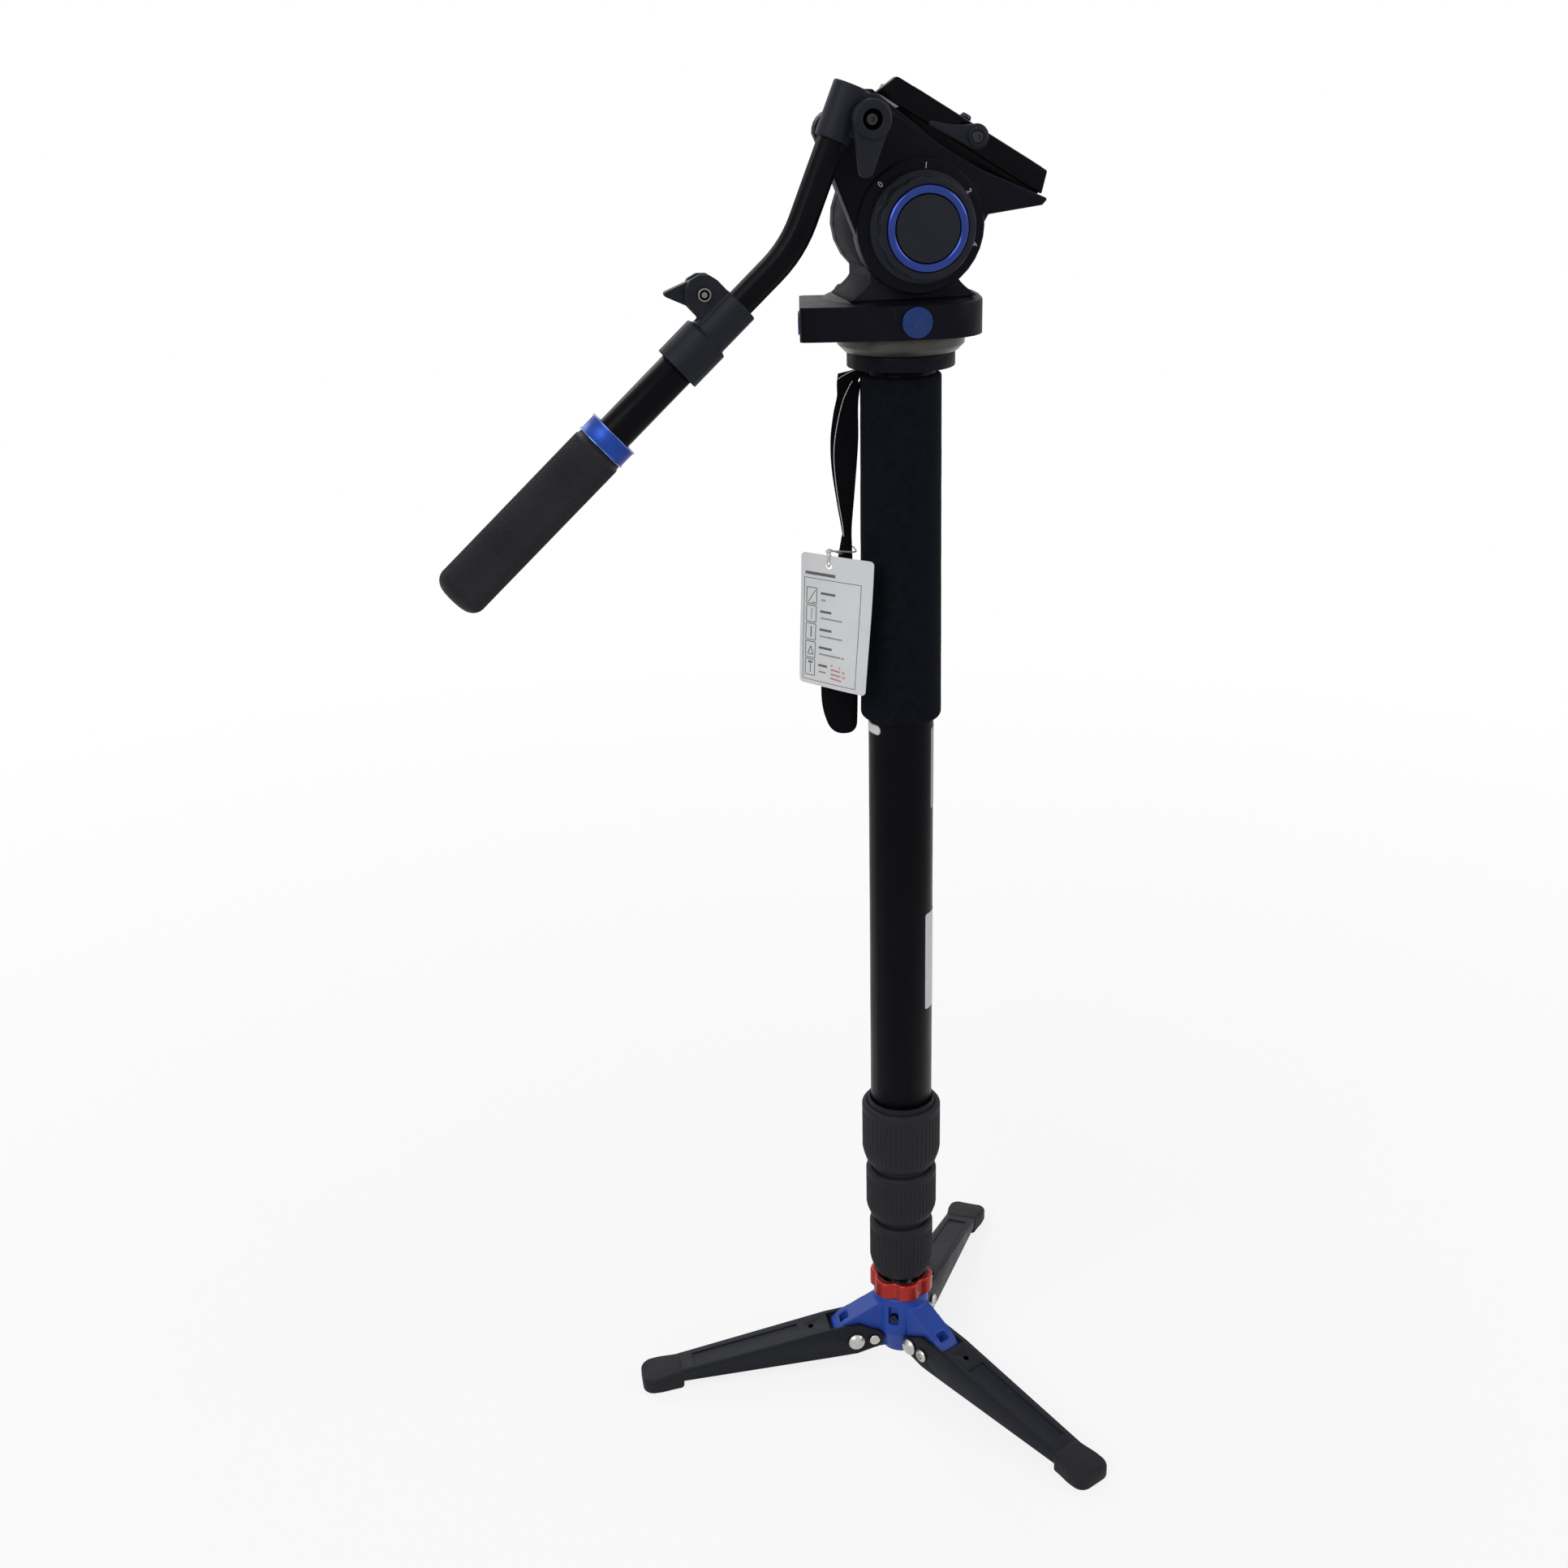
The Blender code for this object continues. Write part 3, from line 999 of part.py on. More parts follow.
def make_drum():
    """The fixed drum between the cheeks, on its flared neck."""
    foot = PAN_BOTTOM + PAN_HEIGHT + PAN_CROWN + GAP - TILT_HEIGHT
    flare = -NECK_WAIST_DROP - foot
    outline = []
    for i in range(NECK_STEPS + 1):
        share = i / NECK_STEPS
        width = NECK_HALF_WAIST + (NECK_HALF_BASE - NECK_HALF_WAIST) * (1.0 - share) ** NECK_CURVE
        outline.append((width, foot + flare * share))
    outline += [(NECK_HALF_WAIST, -math.sqrt(DRUM_RADIUS ** 2 - NECK_HALF_WAIST ** 2))]
    outline += [(-x, z) for x, z in reversed(outline)]
    drum = across(cylinder(DRUM_RADIUS, -DRUM_FAR, DRUM_NEAR, FINE))
    drum = join(drum, side_plate(outline, NECK_INSET - DRUM_NEAR, DRUM_FAR - NECK_INSET))
    drum = cut(drum, across(cylinder(AXLE_RADIUS + GAP, -DRUM_FAR - OVERRUN, DRUM_NEAR + OVERRUN, MEDIUM)))
    place(move(drum, (0.0, 0.0, TILT_HEIGHT)), "tilt_drum", "black_casting", PAN)


# Tilting part of the head, level about its axis
def cheek_outline(radius, back, up, lobe, dip):
    """Dipped top, front lip, round bottom and the rear lobe that carries a rosette."""
    outline = [(CHEEK_FRONT - CHEEK_BEVEL, CHEEK_TOP), (CHEEK_FRONT, CHEEK_TOP - CHEEK_BEVEL)]
    outline += [(CHEEK_FRONT - CHEEK_BEVEL, CHEEK_LIP_HEIGHT), (CHEEK_CROOK, CHEEK_CROOK_HEIGHT)]
    outline += arc((0.0, 0.0), radius - CHEEK_BEVEL, 30.0 * DEG, -115.0 * DEG)
    if dip < CHEEK_TOP:
        outline += [(-CHEEK_HEEL, 0.0)]
    else:
        outline += arc((0.0, 0.0), radius - CHEEK_BEVEL, -130.0 * DEG, -175.0 * DEG)
    outline += arc((-back, up), lobe, 215.0 * DEG, 110.0 * DEG)
    outline += [(-back, CHEEK_TOP)]
    if dip < CHEEK_TOP:
        outline += [(-CHEEK_DIP_BACK, dip), (CHEEK_DIP_FRONT, dip)]
    return outline


def make_cheeks():
    gap_near = DRUM_NEAR + GAP
    gap_far = DRUM_FAR + GAP
    outline = cheek_outline(CHEEK_RADIUS, ROSETTE_BACK, ROSETTE_UP, ROSETTE_RADIUS + LOBE_MARGIN, CHEEK_DIP)
    near = side_plate(outline, -CHEEK_NEAR_FACE, -gap_near)
    near = baked(soften(near, CHEEK_BEVEL, 1, 60.0 * DEG))
    boss_face = CHEEK_NEAR_FACE + CHEEK_BOSS_PROUD
    boss_back = gap_near + 2.0 * CHEEK_BEVEL
    boss = turned([(0.0, boss_face), (CHEEK_RADIUS - CHEEK_BEVEL, boss_face),
                   (CHEEK_RADIUS, boss_face - CHEEK_BEVEL), (CHEEK_RADIUS, boss_back), (0.0, boss_back)],
                  FINE, loop=False)
    rosette = across(cylinder(ROSETTE_RADIUS, boss_back, CHEEK_NEAR_FACE + ROSETTE_PROUD, MEDIUM))
    near = join(near, across(boss), move(rosette, (-ROSETTE_BACK, 0.0, ROSETTE_UP)))
    near = cut(near, across(cylinder(AXLE_RADIUS + GAP, 0.0, AXLE_NEAR + GAP, MEDIUM)))
    place(near, "near_cheek", "black_casting", TILT)
    outline = cheek_outline(CHEEK_FAR_RADIUS, FAR_ROSETTE_BACK, FAR_ROSETTE_UP,
                            FAR_ROSETTE_RADIUS + LOBE_MARGIN, CHEEK_TOP)
    far = side_plate(outline, gap_far, CHEEK_FAR_FACE)
    far = baked(soften(far, CHEEK_BEVEL, 1, 60.0 * DEG))
    far_rosette = across(cylinder(FAR_ROSETTE_RADIUS, -CHEEK_FAR_FACE - FAR_ROSETTE_PROUD,
                                  -gap_far - 2.0 * CHEEK_BEVEL, MEDIUM))
    far = join(far, move(far_rosette, (-FAR_ROSETTE_BACK, 0.0, FAR_ROSETTE_UP)))
    far = cut(far, across(cylinder(AXLE_RADIUS + GAP, -AXLE_FAR - GAP, 0.0, MEDIUM)))
    place(far, "far_cheek", "black_casting", TILT)
    axle = across(cylinder(AXLE_RADIUS, -AXLE_FAR, AXLE_NEAR, MEDIUM))
    place(axle, "tilt_axle", "steel", TILT)


def make_platform():
    """The casting over the drum: a saddle between the cheeks and a channel for the camera plate."""
    saddle_bottom = 0.5 * ROSETTE_UP
    saddle = [(PLATFORM_FRONT - PLATFORM_BEVEL, PLATFORM_BOTTOM + GAP)]
    saddle += [(PLATFORM_FRONT - PLATFORM_BEVEL, CHEEK_LIP_HEIGHT)]
    saddle += [(DRUM_RADIUS, saddle_bottom + ROSETTE_RADIUS), (DRUM_RADIUS, saddle_bottom)]
    saddle += arc((-FAR_ROSETTE_BACK, FAR_ROSETTE_UP), FAR_ROSETTE_RADIUS, 240.0 * DEG, 120.0 * DEG)
    saddle += [(-JAW_BACK, PLATFORM_BOTTOM + GAP)]
    body = side_plate(saddle, -DRUM_NEAR, DRUM_FAR)
    body = cut(body, across(cylinder(DRUM_RADIUS + RUN_GAP, -DRUM_FAR - OVERRUN, DRUM_NEAR + OVERRUN, FINE)))
    deck = side_plate([(PLATFORM_FRONT, PLATFORM_BOTTOM), (PLATE_FRONT, PLATE_TOP - PLATFORM_BEVEL),
                       (-PLATFORM_BACK, PLATE_TOP - PLATFORM_BEVEL),
                       (-PLATFORM_BACK - PLATFORM_SLOPE, PLATFORM_BOTTOM)],
                      -PLATFORM_HALF_WIDTH, PLATFORM_HALF_WIDTH)
    deck = baked(soften(deck, PLATFORM_BEVEL, 2, 60.0 * DEG))
    wall = PLATFORM_HALF_WIDTH - PLATE_HALF_WIDTH
    end = PLATFORM_BACK + PLATFORM_SLOPE
    floor = PLATFORM_BOTTOM - OVERRUN
    back = box((-end - OVERRUN, wall - PLATFORM_HALF_WIDTH, floor),
               (-JAW_BACK, PLATFORM_HALF_WIDTH + OVERRUN, PLATE_TOP + OVERRUN))
    lean = OVERRUN * RAIL_WALL / (end - JAW_CORNER)
    corner = plate([(OVERRUN - JAW_CORNER, -PLATFORM_HALF_WIDTH - lean),
                    (-end - OVERRUN, RAIL_WALL - PLATFORM_HALF_WIDTH + lean),
                    (-end - OVERRUN, -PLATFORM_HALF_WIDTH - lean)], floor, PLATE_TOP + OVERRUN)
    run = PLATE_HALF_WIDTH + GAP
    channel = box((-PLATFORM_BACK - RAIL_WALL - OVERRUN, -run, PLATFORM_TOP),
                  (PLATFORM_FRONT + OVERRUN, run, PLATE_TOP + OVERRUN))
    recess = box((-PLATE_SLOT_LENGTH, -CAMERA_SCREW_HEAD_RADIUS - OVERRUN, PLATFORM_TOP - RECESS_DEPTH),
                 (PLATE_SLOT_LENGTH, CAMERA_SCREW_HEAD_RADIUS + OVERRUN, PLATE_TOP))
    bolt = across(cylinder(PLATE_BOLT_RADIUS + GAP, PLATE_HALF_WIDTH, PLATFORM_HALF_WIDTH + OVERRUN, COARSE))
    move(bolt, (PLATE_LEVER_FORWARD, 0.0, PLATE_LEVER_UP))
    deck = cut(deck, join(channel, recess), back, corner, bolt)
    body = join(body, deck)
    place(body, "platform", "black_casting", TILT)


def make_camera_plate():
    bottom = PLATFORM_TOP + GAP
    outline = [(PLATE_FRONT, bottom), (PLATE_FRONT, PLATE_TOP), (-PLATE_BACK, PLATE_TOP),
               (-PLATE_BACK, bottom)]
    slab = baked(soften(side_plate(outline, -PLATE_HALF_WIDTH, PLATE_HALF_WIDTH), PLATFORM_BEVEL, 1))
    half = PLATE_SLOT_LENGTH / 2.0
    width = CAMERA_SCREW_RADIUS + GAP
    slot = plate(rounded_box_outline(CAMERA_SCREW_FORWARD - half, CAMERA_SCREW_FORWARD + half, -width, width,
                                     0.9 * width), bottom - OVERRUN, PLATE_TOP + OVERRUN)
    slab = cut(slab, slot)
    place(slab, "camera_plate", "black_casting", TILT)
    head_top = bottom - GAP
    tip = PLATE_TOP + CAMERA_SCREW_PROUD
    screw = turned([(0.0, tip), (CAMERA_SCREW_RADIUS, tip), (CAMERA_SCREW_RADIUS, head_top),
                    (CAMERA_SCREW_HEAD_RADIUS, head_top),
                    (CAMERA_SCREW_HEAD_RADIUS, head_top - CAMERA_SCREW_HEAD_HEIGHT),
                    (0.0, head_top - CAMERA_SCREW_HEAD_HEIGHT)], COARSE, loop=False)
    place(move(screw, (CAMERA_SCREW_FORWARD, 0.0, 0.0)), "camera_screw", "steel", TILT)


def make_plate_lever():
    inner = PLATFORM_HALF_WIDTH + GAP
    outline = teardrop(PLATE_LEVER_RADIUS, PLATE_LEVER_TIP_RADIUS, PLATE_LEVER_LENGTH, PLATE_LEVER_ANGLE)
    lever = side_plate(outline, -inner - PLATE_LEVER_THICKNESS, -inner)
    lever = baked(soften(lever, CHEEK_BEVEL, 1, 60.0 * DEG))
    bolt = across(cylinder(PLATE_BOLT_RADIUS, PLATE_HALF_WIDTH + 2.0 * GAP, inner + OVERRUN, COARSE))
    at = frame((PLATE_LEVER_FORWARD, 0.0, PLATE_LEVER_UP), TILT)
    place(join(lever, bolt), "plate_lever", "black_plastic", at)


def make_dial():
    """The stepped balance dial: a lugged knob, a bright ring and a plain cap."""
    seat = CHEEK_NEAR_FACE + CHEEK_BOSS_PROUD + GAP
    face = seat + DIAL_DEPTH
    knob = plate(lobed_outline(DIAL_RADIUS, DIAL_LUG_DEPTH, DIAL_LUGS, 2.0, 4), seat, face)
    knob = join(knob, cylinder(DIAL_SKIRT_RADIUS, seat, seat + DIAL_SKIRT_DEPTH, FINE))
    floor = face - DIAL_RING_DEPTH
    knob = cut(knob, cylinder(DIAL_RING_RADIUS + GAP, floor, face + OVERRUN, FINE))
    place(across(knob), "balance_dial", "black_plastic", TILT)
    ring_top = face + DIAL_RING_PROUD
    ring = pipe(DIAL_RING_RADIUS, DIAL_RING_INNER_RADIUS, floor + GAP, ring_top)
    place(across(ring), "dial_ring", "anodised_blue", TILT)
    cap = cylinder(DIAL_RING_INNER_RADIUS - GAP, floor + GAP, ring_top - GAP, FINE)
    place(across(cap), "dial_cap", "black_plastic", TILT)


def make_tilt_lock():
    inner = CHEEK_FAR_FACE + GAP
    outline = teardrop(LOCK_LEVER_RADIUS, LOCK_LEVER_TIP_RADIUS, LOCK_LEVER_LENGTH, LOCK_LEVER_ANGLE)
    lever = side_plate(outline, inner, inner + LOCK_LEVER_THICKNESS)
    lever = baked(soften(lever, CHEEK_BEVEL, 1, 60.0 * DEG))
    place(lever, "tilt_lock_lever", "black_plastic", TILT)


# Pan handle, about its rosette axis, leaning with the socket
def make_handle_clamp():
    near = -CLAMP_NEAR_FACE
    seat = -(CHEEK_NEAR_FACE + ROSETTE_PROUD + GAP)
    radius = INNER_TUBE_RADIUS + GAP + SOCKET_WALL
    body = across(cylinder(ROSETTE_RADIUS, -seat, -near, MEDIUM))
    arm = box((-SOCKET_OFFSET, near + CHEEK_BEVEL, -ROSETTE_RADIUS + CHEEK_BEVEL),
              (0.0, seat - CHEEK_BEVEL, ROSETTE_RADIUS - CHEEK_BEVEL))
    socket = cylinder(radius, -SOCKET_BOTTOM, SOCKET_TOP, MEDIUM)
    bore = cylinder(INNER_TUBE_RADIUS + GAP, -SOCKET_BOTTOM - OVERRUN, SOCKET_TOP - SOCKET_CAP, MEDIUM)
    move(socket, (-SOCKET_OFFSET, -HANDLE_PLANE, 0.0))
    move(bore, (-SOCKET_OFFSET, -HANDLE_PLANE, 0.0))
    seat_boss = across(cylinder(WING_SEAT_RADIUS, CHEEK_BEVEL - seat, WING_SEAT - GAP, COARSE))
    body = cut(join(body, arm, socket, seat_boss), bore)
    place(body, "handle_clamp", "black_casting", HANDLE)
    outline = teardrop(WING_RADIUS, WING_TIP_RADIUS, WING_LENGTH, -90.0 * DEG - WING_ANGLE)
    wing_face = -WING_SEAT - WING_THICKNESS
    wing = side_plate(outline, wing_face, -WING_SEAT)
    wing = baked(soften(wing, CHEEK_BEVEL, 1, 60.0 * DEG))
    recess = across(cylinder(WING_RECESS_RADIUS, -wing_face - WING_RECESS_DEPTH, OVERRUN - wing_face, COARSE))
    place(cut(wing, recess), "wing_lever", "black_plastic", HANDLE)


def handle_path(start, end):
    """The inner tube's middle line: down from the socket, round the bend, then straight."""
    bend = Vector((-SOCKET_OFFSET, -HANDLE_PLANE, -BEND_DROP))
    tangent = HANDLE_BEND_RADIUS * math.tan(HANDLE_BEND / 2.0)
    centre = bend + Vector((-HANDLE_BEND_RADIUS, 0.0, tangent))
    path = [(-SOCKET_OFFSET, -HANDLE_PLANE, start)]
    steps = 6
    for i in range(steps + 1):
        angle = HANDLE_BEND * i / steps
        path.append((centre.x + HANDLE_BEND_RADIUS * math.cos(angle), -HANDLE_PLANE,
                     centre.z - HANDLE_BEND_RADIUS * math.sin(angle)))
    path.append((bend.x - end * math.sin(HANDLE_BEND), -HANDLE_PLANE, bend.z - end * math.cos(HANDLE_BEND)))
    return path


def make_handle_tube():
    start = SOCKET_TOP - SOCKET_CAP - GAP
    tube = rod(handle_path(start, INNER_TUBE_END), INNER_TUBE_RADIUS, 4)
    hollow = rod(handle_path(start + OVERRUN, INNER_TUBE_END + OVERRUN), INNER_TUBE_RADIUS - INNER_TUBE_WALL, 2)
    place(cut(tube, hollow), "handle_tube", "black_tube", HANDLE)


def make_extension():
    """Clamp, cam lever, outer tube, bright ring and grip, built down -Z from the bend point."""
    inner_run = INNER_TUBE_RADIUS + GAP
    clamp = turned([(COLLAR_RADIUS, -COLLAR_START), (COLLAR_RADIUS, -COLLAR_STEP),
                    (COLLAR_RING_RADIUS, -COLLAR_STEP - CHEEK_BEVEL), (COLLAR_RING_RADIUS, -COLLAR_END),
                    (OUTER_TUBE_RADIUS + GAP, -COLLAR_END), (OUTER_TUBE_RADIUS + GAP, GAP - OUTER_TUBE_START),
                    (inner_run, GAP - OUTER_TUBE_START), (inner_run, -COLLAR_START)], MEDIUM)
    lug = [(-LUG_ACROSS - LUG_RADIUS * math.cos(a), -LUG_ALONG + LUG_RADIUS * math.sin(a))
           for a in (90.0 * DEG, 60.0 * DEG, 30.0 * DEG, 0.0, -30.0 * DEG, -60.0 * DEG, -90.0 * DEG)]
    lug += [(-COLLAR_RADIUS * 0.8, -LUG_ALONG - LUG_RADIUS), (-COLLAR_RADIUS * 0.8, -LUG_ALONG + LUG_RADIUS)]
    ears = side_plate(lug, -LUG_HALF_WIDTH, LUG_HALF_WIDTH)
    slot_reach = LUG_ACROSS + LUG_RADIUS + OVERRUN
    slot = box((-slot_reach, -LUG_SLOT_HALF_WIDTH, -LUG_ALONG - LUG_RADIUS - OVERRUN),
               (-inner_run - 2.0 * GAP, LUG_SLOT_HALF_WIDTH, -COLLAR_START + OVERRUN))
    bore = cylinder(inner_run, -COLLAR_END, OVERRUN, MEDIUM)
    side = LUG_HALF_WIDTH + OVERRUN
    pin_hole = across(cylinder(CAM_PIN_RADIUS + GAP, -side, side, COARSE))
    move(pin_hole, (-LUG_ACROSS, 0.0, -LUG_ALONG))
    clamp = cut(join(clamp, ears), slot, bore, pin_hole)
    place(clamp, "extension_clamp", "black_plastic", EXTENSION)
    cam_half = LUG_SLOT_HALF_WIDTH - GAP
    cam_outline = teardrop(CAM_RADIUS, CAM_TIP_RADIUS, CAM_LENGTH, 180.0 * DEG + CAM_ANGLE)
    cam = side_plate(cam_outline, -cam_half, cam_half)
    cam = baked(soften(cam, CHEEK_BEVEL, 1, 60.0 * DEG))
    cam = cut(cam, across(cylinder(CAM_PIN_RADIUS + GAP, -LUG_HALF_WIDTH, LUG_HALF_WIDTH, COARSE)))
    at = frame((-LUG_ACROSS, 0.0, -LUG_ALONG), EXTENSION)
    place(cam, "clamp_lever", "black_plastic", at)
    side = LUG_HALF_WIDTH + GAP
    pin = turned([(0.0, side + CAM_PIN_HEAD), (CAM_PIN_HEAD_RADIUS, side + CAM_PIN_HEAD),
                  (CAM_PIN_HEAD_RADIUS, side), (CAM_PIN_RADIUS, side), (CAM_PIN_RADIUS, -side),
                  (0.0, -side)], COARSE, loop=False)
    place(move(across(pin), (-LUG_ACROSS, 0.0, -LUG_ALONG)), "clamp_pin", "steel", EXTENSION)
    tube = pipe(OUTER_TUBE_RADIUS, OUTER_TUBE_RADIUS - OUTER_TUBE_WALL, -OUTER_TUBE_END,
                -OUTER_TUBE_START, MEDIUM)
    place(tube, "handle_outer_tube", "black_tube", EXTENSION)
    grip_bore = OUTER_TUBE_RADIUS + GAP
    place(pipe(GRIP_RING_RADIUS, grip_bore, -GRIP_RING_END, -GRIP_RING_START, MEDIUM),
          "grip_ring", "anodised_blue", EXTENSION)
    top = -GRIP_RING_END - GAP
    profile = [(grip_bore, top), (HANDLE_GRIP_RADIUS, top)]
    for a in (0.0, 30.0 * DEG, 60.0 * DEG):
        profile.append((HANDLE_GRIP_RADIUS - HANDLE_GRIP_ROUND * (1.0 - math.cos(a)),
                        -HANDLE_GRIP_END + HANDLE_GRIP_ROUND * (1.0 - math.sin(a))))
    profile += [(HANDLE_GRIP_RADIUS - HANDLE_GRIP_ROUND, -HANDLE_GRIP_END), (0.0, -HANDLE_GRIP_END)]
    profile += [(0.0, -OUTER_TUBE_END - GAP), (grip_bore, -OUTER_TUBE_END - GAP)]
    place(closed_turn(profile), "handle_grip", "black_rubber", EXTENSION)


def closed_turn(profile):
    """A turned shape whose profile starts at the bore's rim and ends on the axis twice."""
    split = [i for i, point in enumerate(profile) if point[0] == 0.0]
    outer = profile[1:split[0] + 1]
    inner = [profile[split[1]]] + profile[split[1] + 1:] + [profile[0]]
    ordered = list(reversed(inner))
    path = list(reversed(outer)) + ordered
    return turned(list(reversed(path)), MEDIUM, loop=False)


PAN = frame((0.0, 0.0, 0.0))
TILT = frame((0.0, 0.0, TILT_HEIGHT), turn=(0.0, TILT_REST, 0.0))
HANDLE = frame((-ROSETTE_BACK, 0.0, ROSETTE_UP), TILT, (0.0, HANDLE_LEAN - TILT_REST, 0.0))
EXTENSION = frame((-SOCKET_OFFSET, -HANDLE_PLANE, -BEND_DROP), HANDLE, (0.0, HANDLE_BEND, 0.0))

make_hub()
for index, leg_azimuth in enumerate(LEG_AZIMUTHS):
    make_leg(index + 1, leg_azimuth)
make_ball_joint()
make_column()
make_grip()
make_strap()
make_tag()
make_head_base()
make_pan_housing()
make_drum()
make_cheeks()
make_platform()
make_camera_plate()
make_plate_lever()
make_dial()
make_tilt_lock()
make_handle_clamp()
make_handle_tube()
make_extension()
bpy.context.view_layer.update()
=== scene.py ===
"""Studio view of the video monopod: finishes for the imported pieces, and finer pieces over them.

Shapes are made in millimetres and degrees, and put() lays them down in metres.
"""
import json
import math

import bmesh
import bpy
from mathutils import Matrix, Vector, noise


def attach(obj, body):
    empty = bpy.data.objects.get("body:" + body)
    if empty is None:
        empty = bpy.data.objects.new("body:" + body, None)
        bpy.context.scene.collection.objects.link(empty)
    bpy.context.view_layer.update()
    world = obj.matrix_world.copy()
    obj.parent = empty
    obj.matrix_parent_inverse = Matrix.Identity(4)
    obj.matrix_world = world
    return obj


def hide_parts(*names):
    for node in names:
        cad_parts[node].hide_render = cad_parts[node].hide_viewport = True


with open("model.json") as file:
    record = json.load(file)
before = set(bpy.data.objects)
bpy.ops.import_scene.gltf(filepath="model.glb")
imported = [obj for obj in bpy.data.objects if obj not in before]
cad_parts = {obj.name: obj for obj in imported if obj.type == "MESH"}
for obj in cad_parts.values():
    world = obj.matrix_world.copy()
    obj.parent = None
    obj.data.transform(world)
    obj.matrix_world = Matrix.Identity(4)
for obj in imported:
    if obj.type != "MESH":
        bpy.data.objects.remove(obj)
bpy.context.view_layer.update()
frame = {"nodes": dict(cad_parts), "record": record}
nodes = frame["nodes"]

MM = 0.001
DEG = math.pi / 180.0
TURN = 2.0 * math.pi


def shift(x, y, z):
    """A move, in millimetres."""
    return Matrix.Translation((x * MM, y * MM, z * MM))


def turned(angle, axis="Z"):
    """A turn about an axis, in degrees."""
    return Matrix.Rotation(angle * DEG, 4, axis)


# Places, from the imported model
PACKED = Matrix.Identity(4)
COLUMN = shift(75.5, 3.9, 0.0)
HEAD = COLUMN @ shift(0.0, 0.0, 693.8) @ turned(30.9, "Y")
HANDLE = HEAD @ shift(-53.7, 0.0, 28.5) @ turned(-8.7, "Y")
EXTENSION = HANDLE @ shift(-11.6, -48.5, -68.0) @ turned(25.3, "Y")
SIDEWAYS = turned(90.0, "X")
OUTWARD = turned(90.0, "Y")
FACE = HEAD @ SIDEWAYS


# Camera, floor and lamps
def set_camera():
    """The photo's own view, as fitted to the column, the collars and the feet."""
    camera = bpy.data.objects.new("camera", bpy.data.cameras.new("camera"))
    bpy.context.scene.collection.objects.link(camera)
    right = Vector((0.975, -0.221159, -0.021541))
    up = Vector((0.098668, 0.344037, 0.933758))
    ahead = Vector((0.199098, 0.91254, -0.357257))
    place = Matrix((right, up, -ahead)).transposed().to_4x4()
    place.translation = COLUMN @ Vector((-0.28665, -1.003489, 0.785988))
    camera.matrix_world = place
    camera.data.sensor_width = 36.0
    camera.data.lens = 45.27
    camera.data.clip_start = 0.01
    scene = bpy.context.scene
    scene.camera = camera
    scene.view_settings.view_transform = "Standard"


def add_node(tree, kind, values=None, **settings):
    """A shader node, with values given by socket name and settings by their own name."""
    node = tree.nodes.new(kind)
    for name, value in settings.items():
        setattr(node, name, value)
    for name, value in (values or {}).items():
        node.inputs[name].default_value = value
    return node


def math_node(tree, operation, first, second=None):
    """The result of a sum on sockets or plain numbers."""
    node = add_node(tree, "ShaderNodeMath", operation=operation)
    for socket, value in zip(node.inputs, (first, second)):
        if isinstance(value, (int, float)):
            socket.default_value = value
        elif value is not None:
            tree.links.new(value, socket)
    return node.outputs[0]


def seen_directly(tree):
    """One for camera, glossy and transmission rays, and nought for the others."""
    ray = add_node(tree, "ShaderNodeLightPath").outputs
    either = math_node(tree, "MAXIMUM", ray["Is Camera Ray"], ray["Is Glossy Ray"])
    return math_node(tree, "MAXIMUM", either, ray["Is Transmission Ray"])


def mix_shaders(tree, share, first, second, end):
    """Mixes two shaders by a share, into the tree's end."""
    mix = add_node(tree, "ShaderNodeMixShader")
    for source, socket in zip((share, first.outputs[0], second.outputs[0]), mix.inputs):
        tree.links.new(source, socket)
    tree.links.new(mix.outputs[0], tree.nodes[end].inputs["Surface"])


def set_world():
    """A dim even light that is seen directly as plain white."""
    world = bpy.data.worlds.new("studio")
    bpy.context.scene.world = world
    world.use_nodes = True
    tree = world.node_tree
    sky = tree.nodes["Background"]
    sky.inputs["Color"].default_value = (1.0, 1.0, 1.0, 1.0)
    sky.inputs["Strength"].default_value = 0.2
    plain = add_node(tree, "ShaderNodeBackground", {"Color": (1.0, 1.0, 1.0, 1.0)})
    mix_shaders(tree, seen_directly(tree), sky, plain, "World Output")


def set_floor():
    """A pale floor that keeps the shadow, and fades to plain white away from the part."""
    half_width, drop = 6.0, 0.0006
    work = bmesh.new()
    bmesh.ops.create_grid(work, x_segments=1, y_segments=1, size=half_width)
    bmesh.ops.translate(work, verts=work.verts, vec=(0.0, 0.0, -drop))
    mesh = bpy.data.meshes.new("floor")
    work.to_mesh(mesh)
    work.free()
    floor = bpy.data.objects.new("floor", mesh)
    bpy.context.scene.collection.objects.link(floor)
    paint = bpy.data.materials.new("studio_floor")
    paint.use_nodes = True
    tree = paint.node_tree
    shader = tree.nodes["Principled BSDF"]
    shader.inputs["Base Color"].default_value = (0.88, 0.88, 0.88, 1.0)
    shader.inputs["Roughness"].default_value = 0.9
    shader.inputs["Specular IOR Level"].default_value = 0.1
    glow = add_node(tree, "ShaderNodeEmission", {"Strength": 1.0})
    where = add_node(tree, "ShaderNodeTexCoord")
    away = add_node(tree, "ShaderNodeVectorMath", operation="LENGTH")
    tree.links.new(where.outputs["Object"], away.inputs[0])
    white = add_node(tree, "ShaderNodeMapRange",
                     {"From Min": 0.35, "From Max": 1.5, "To Min": 0.84, "To Max": 1.0})
    tree.links.new(away.outputs["Value"], white.inputs["Value"])
    share = math_node(tree, "MULTIPLY", seen_directly(tree), white.outputs["Result"])
    mix_shaders(tree, share, shader, glow, "Material Output")
    mesh.materials.append(paint)


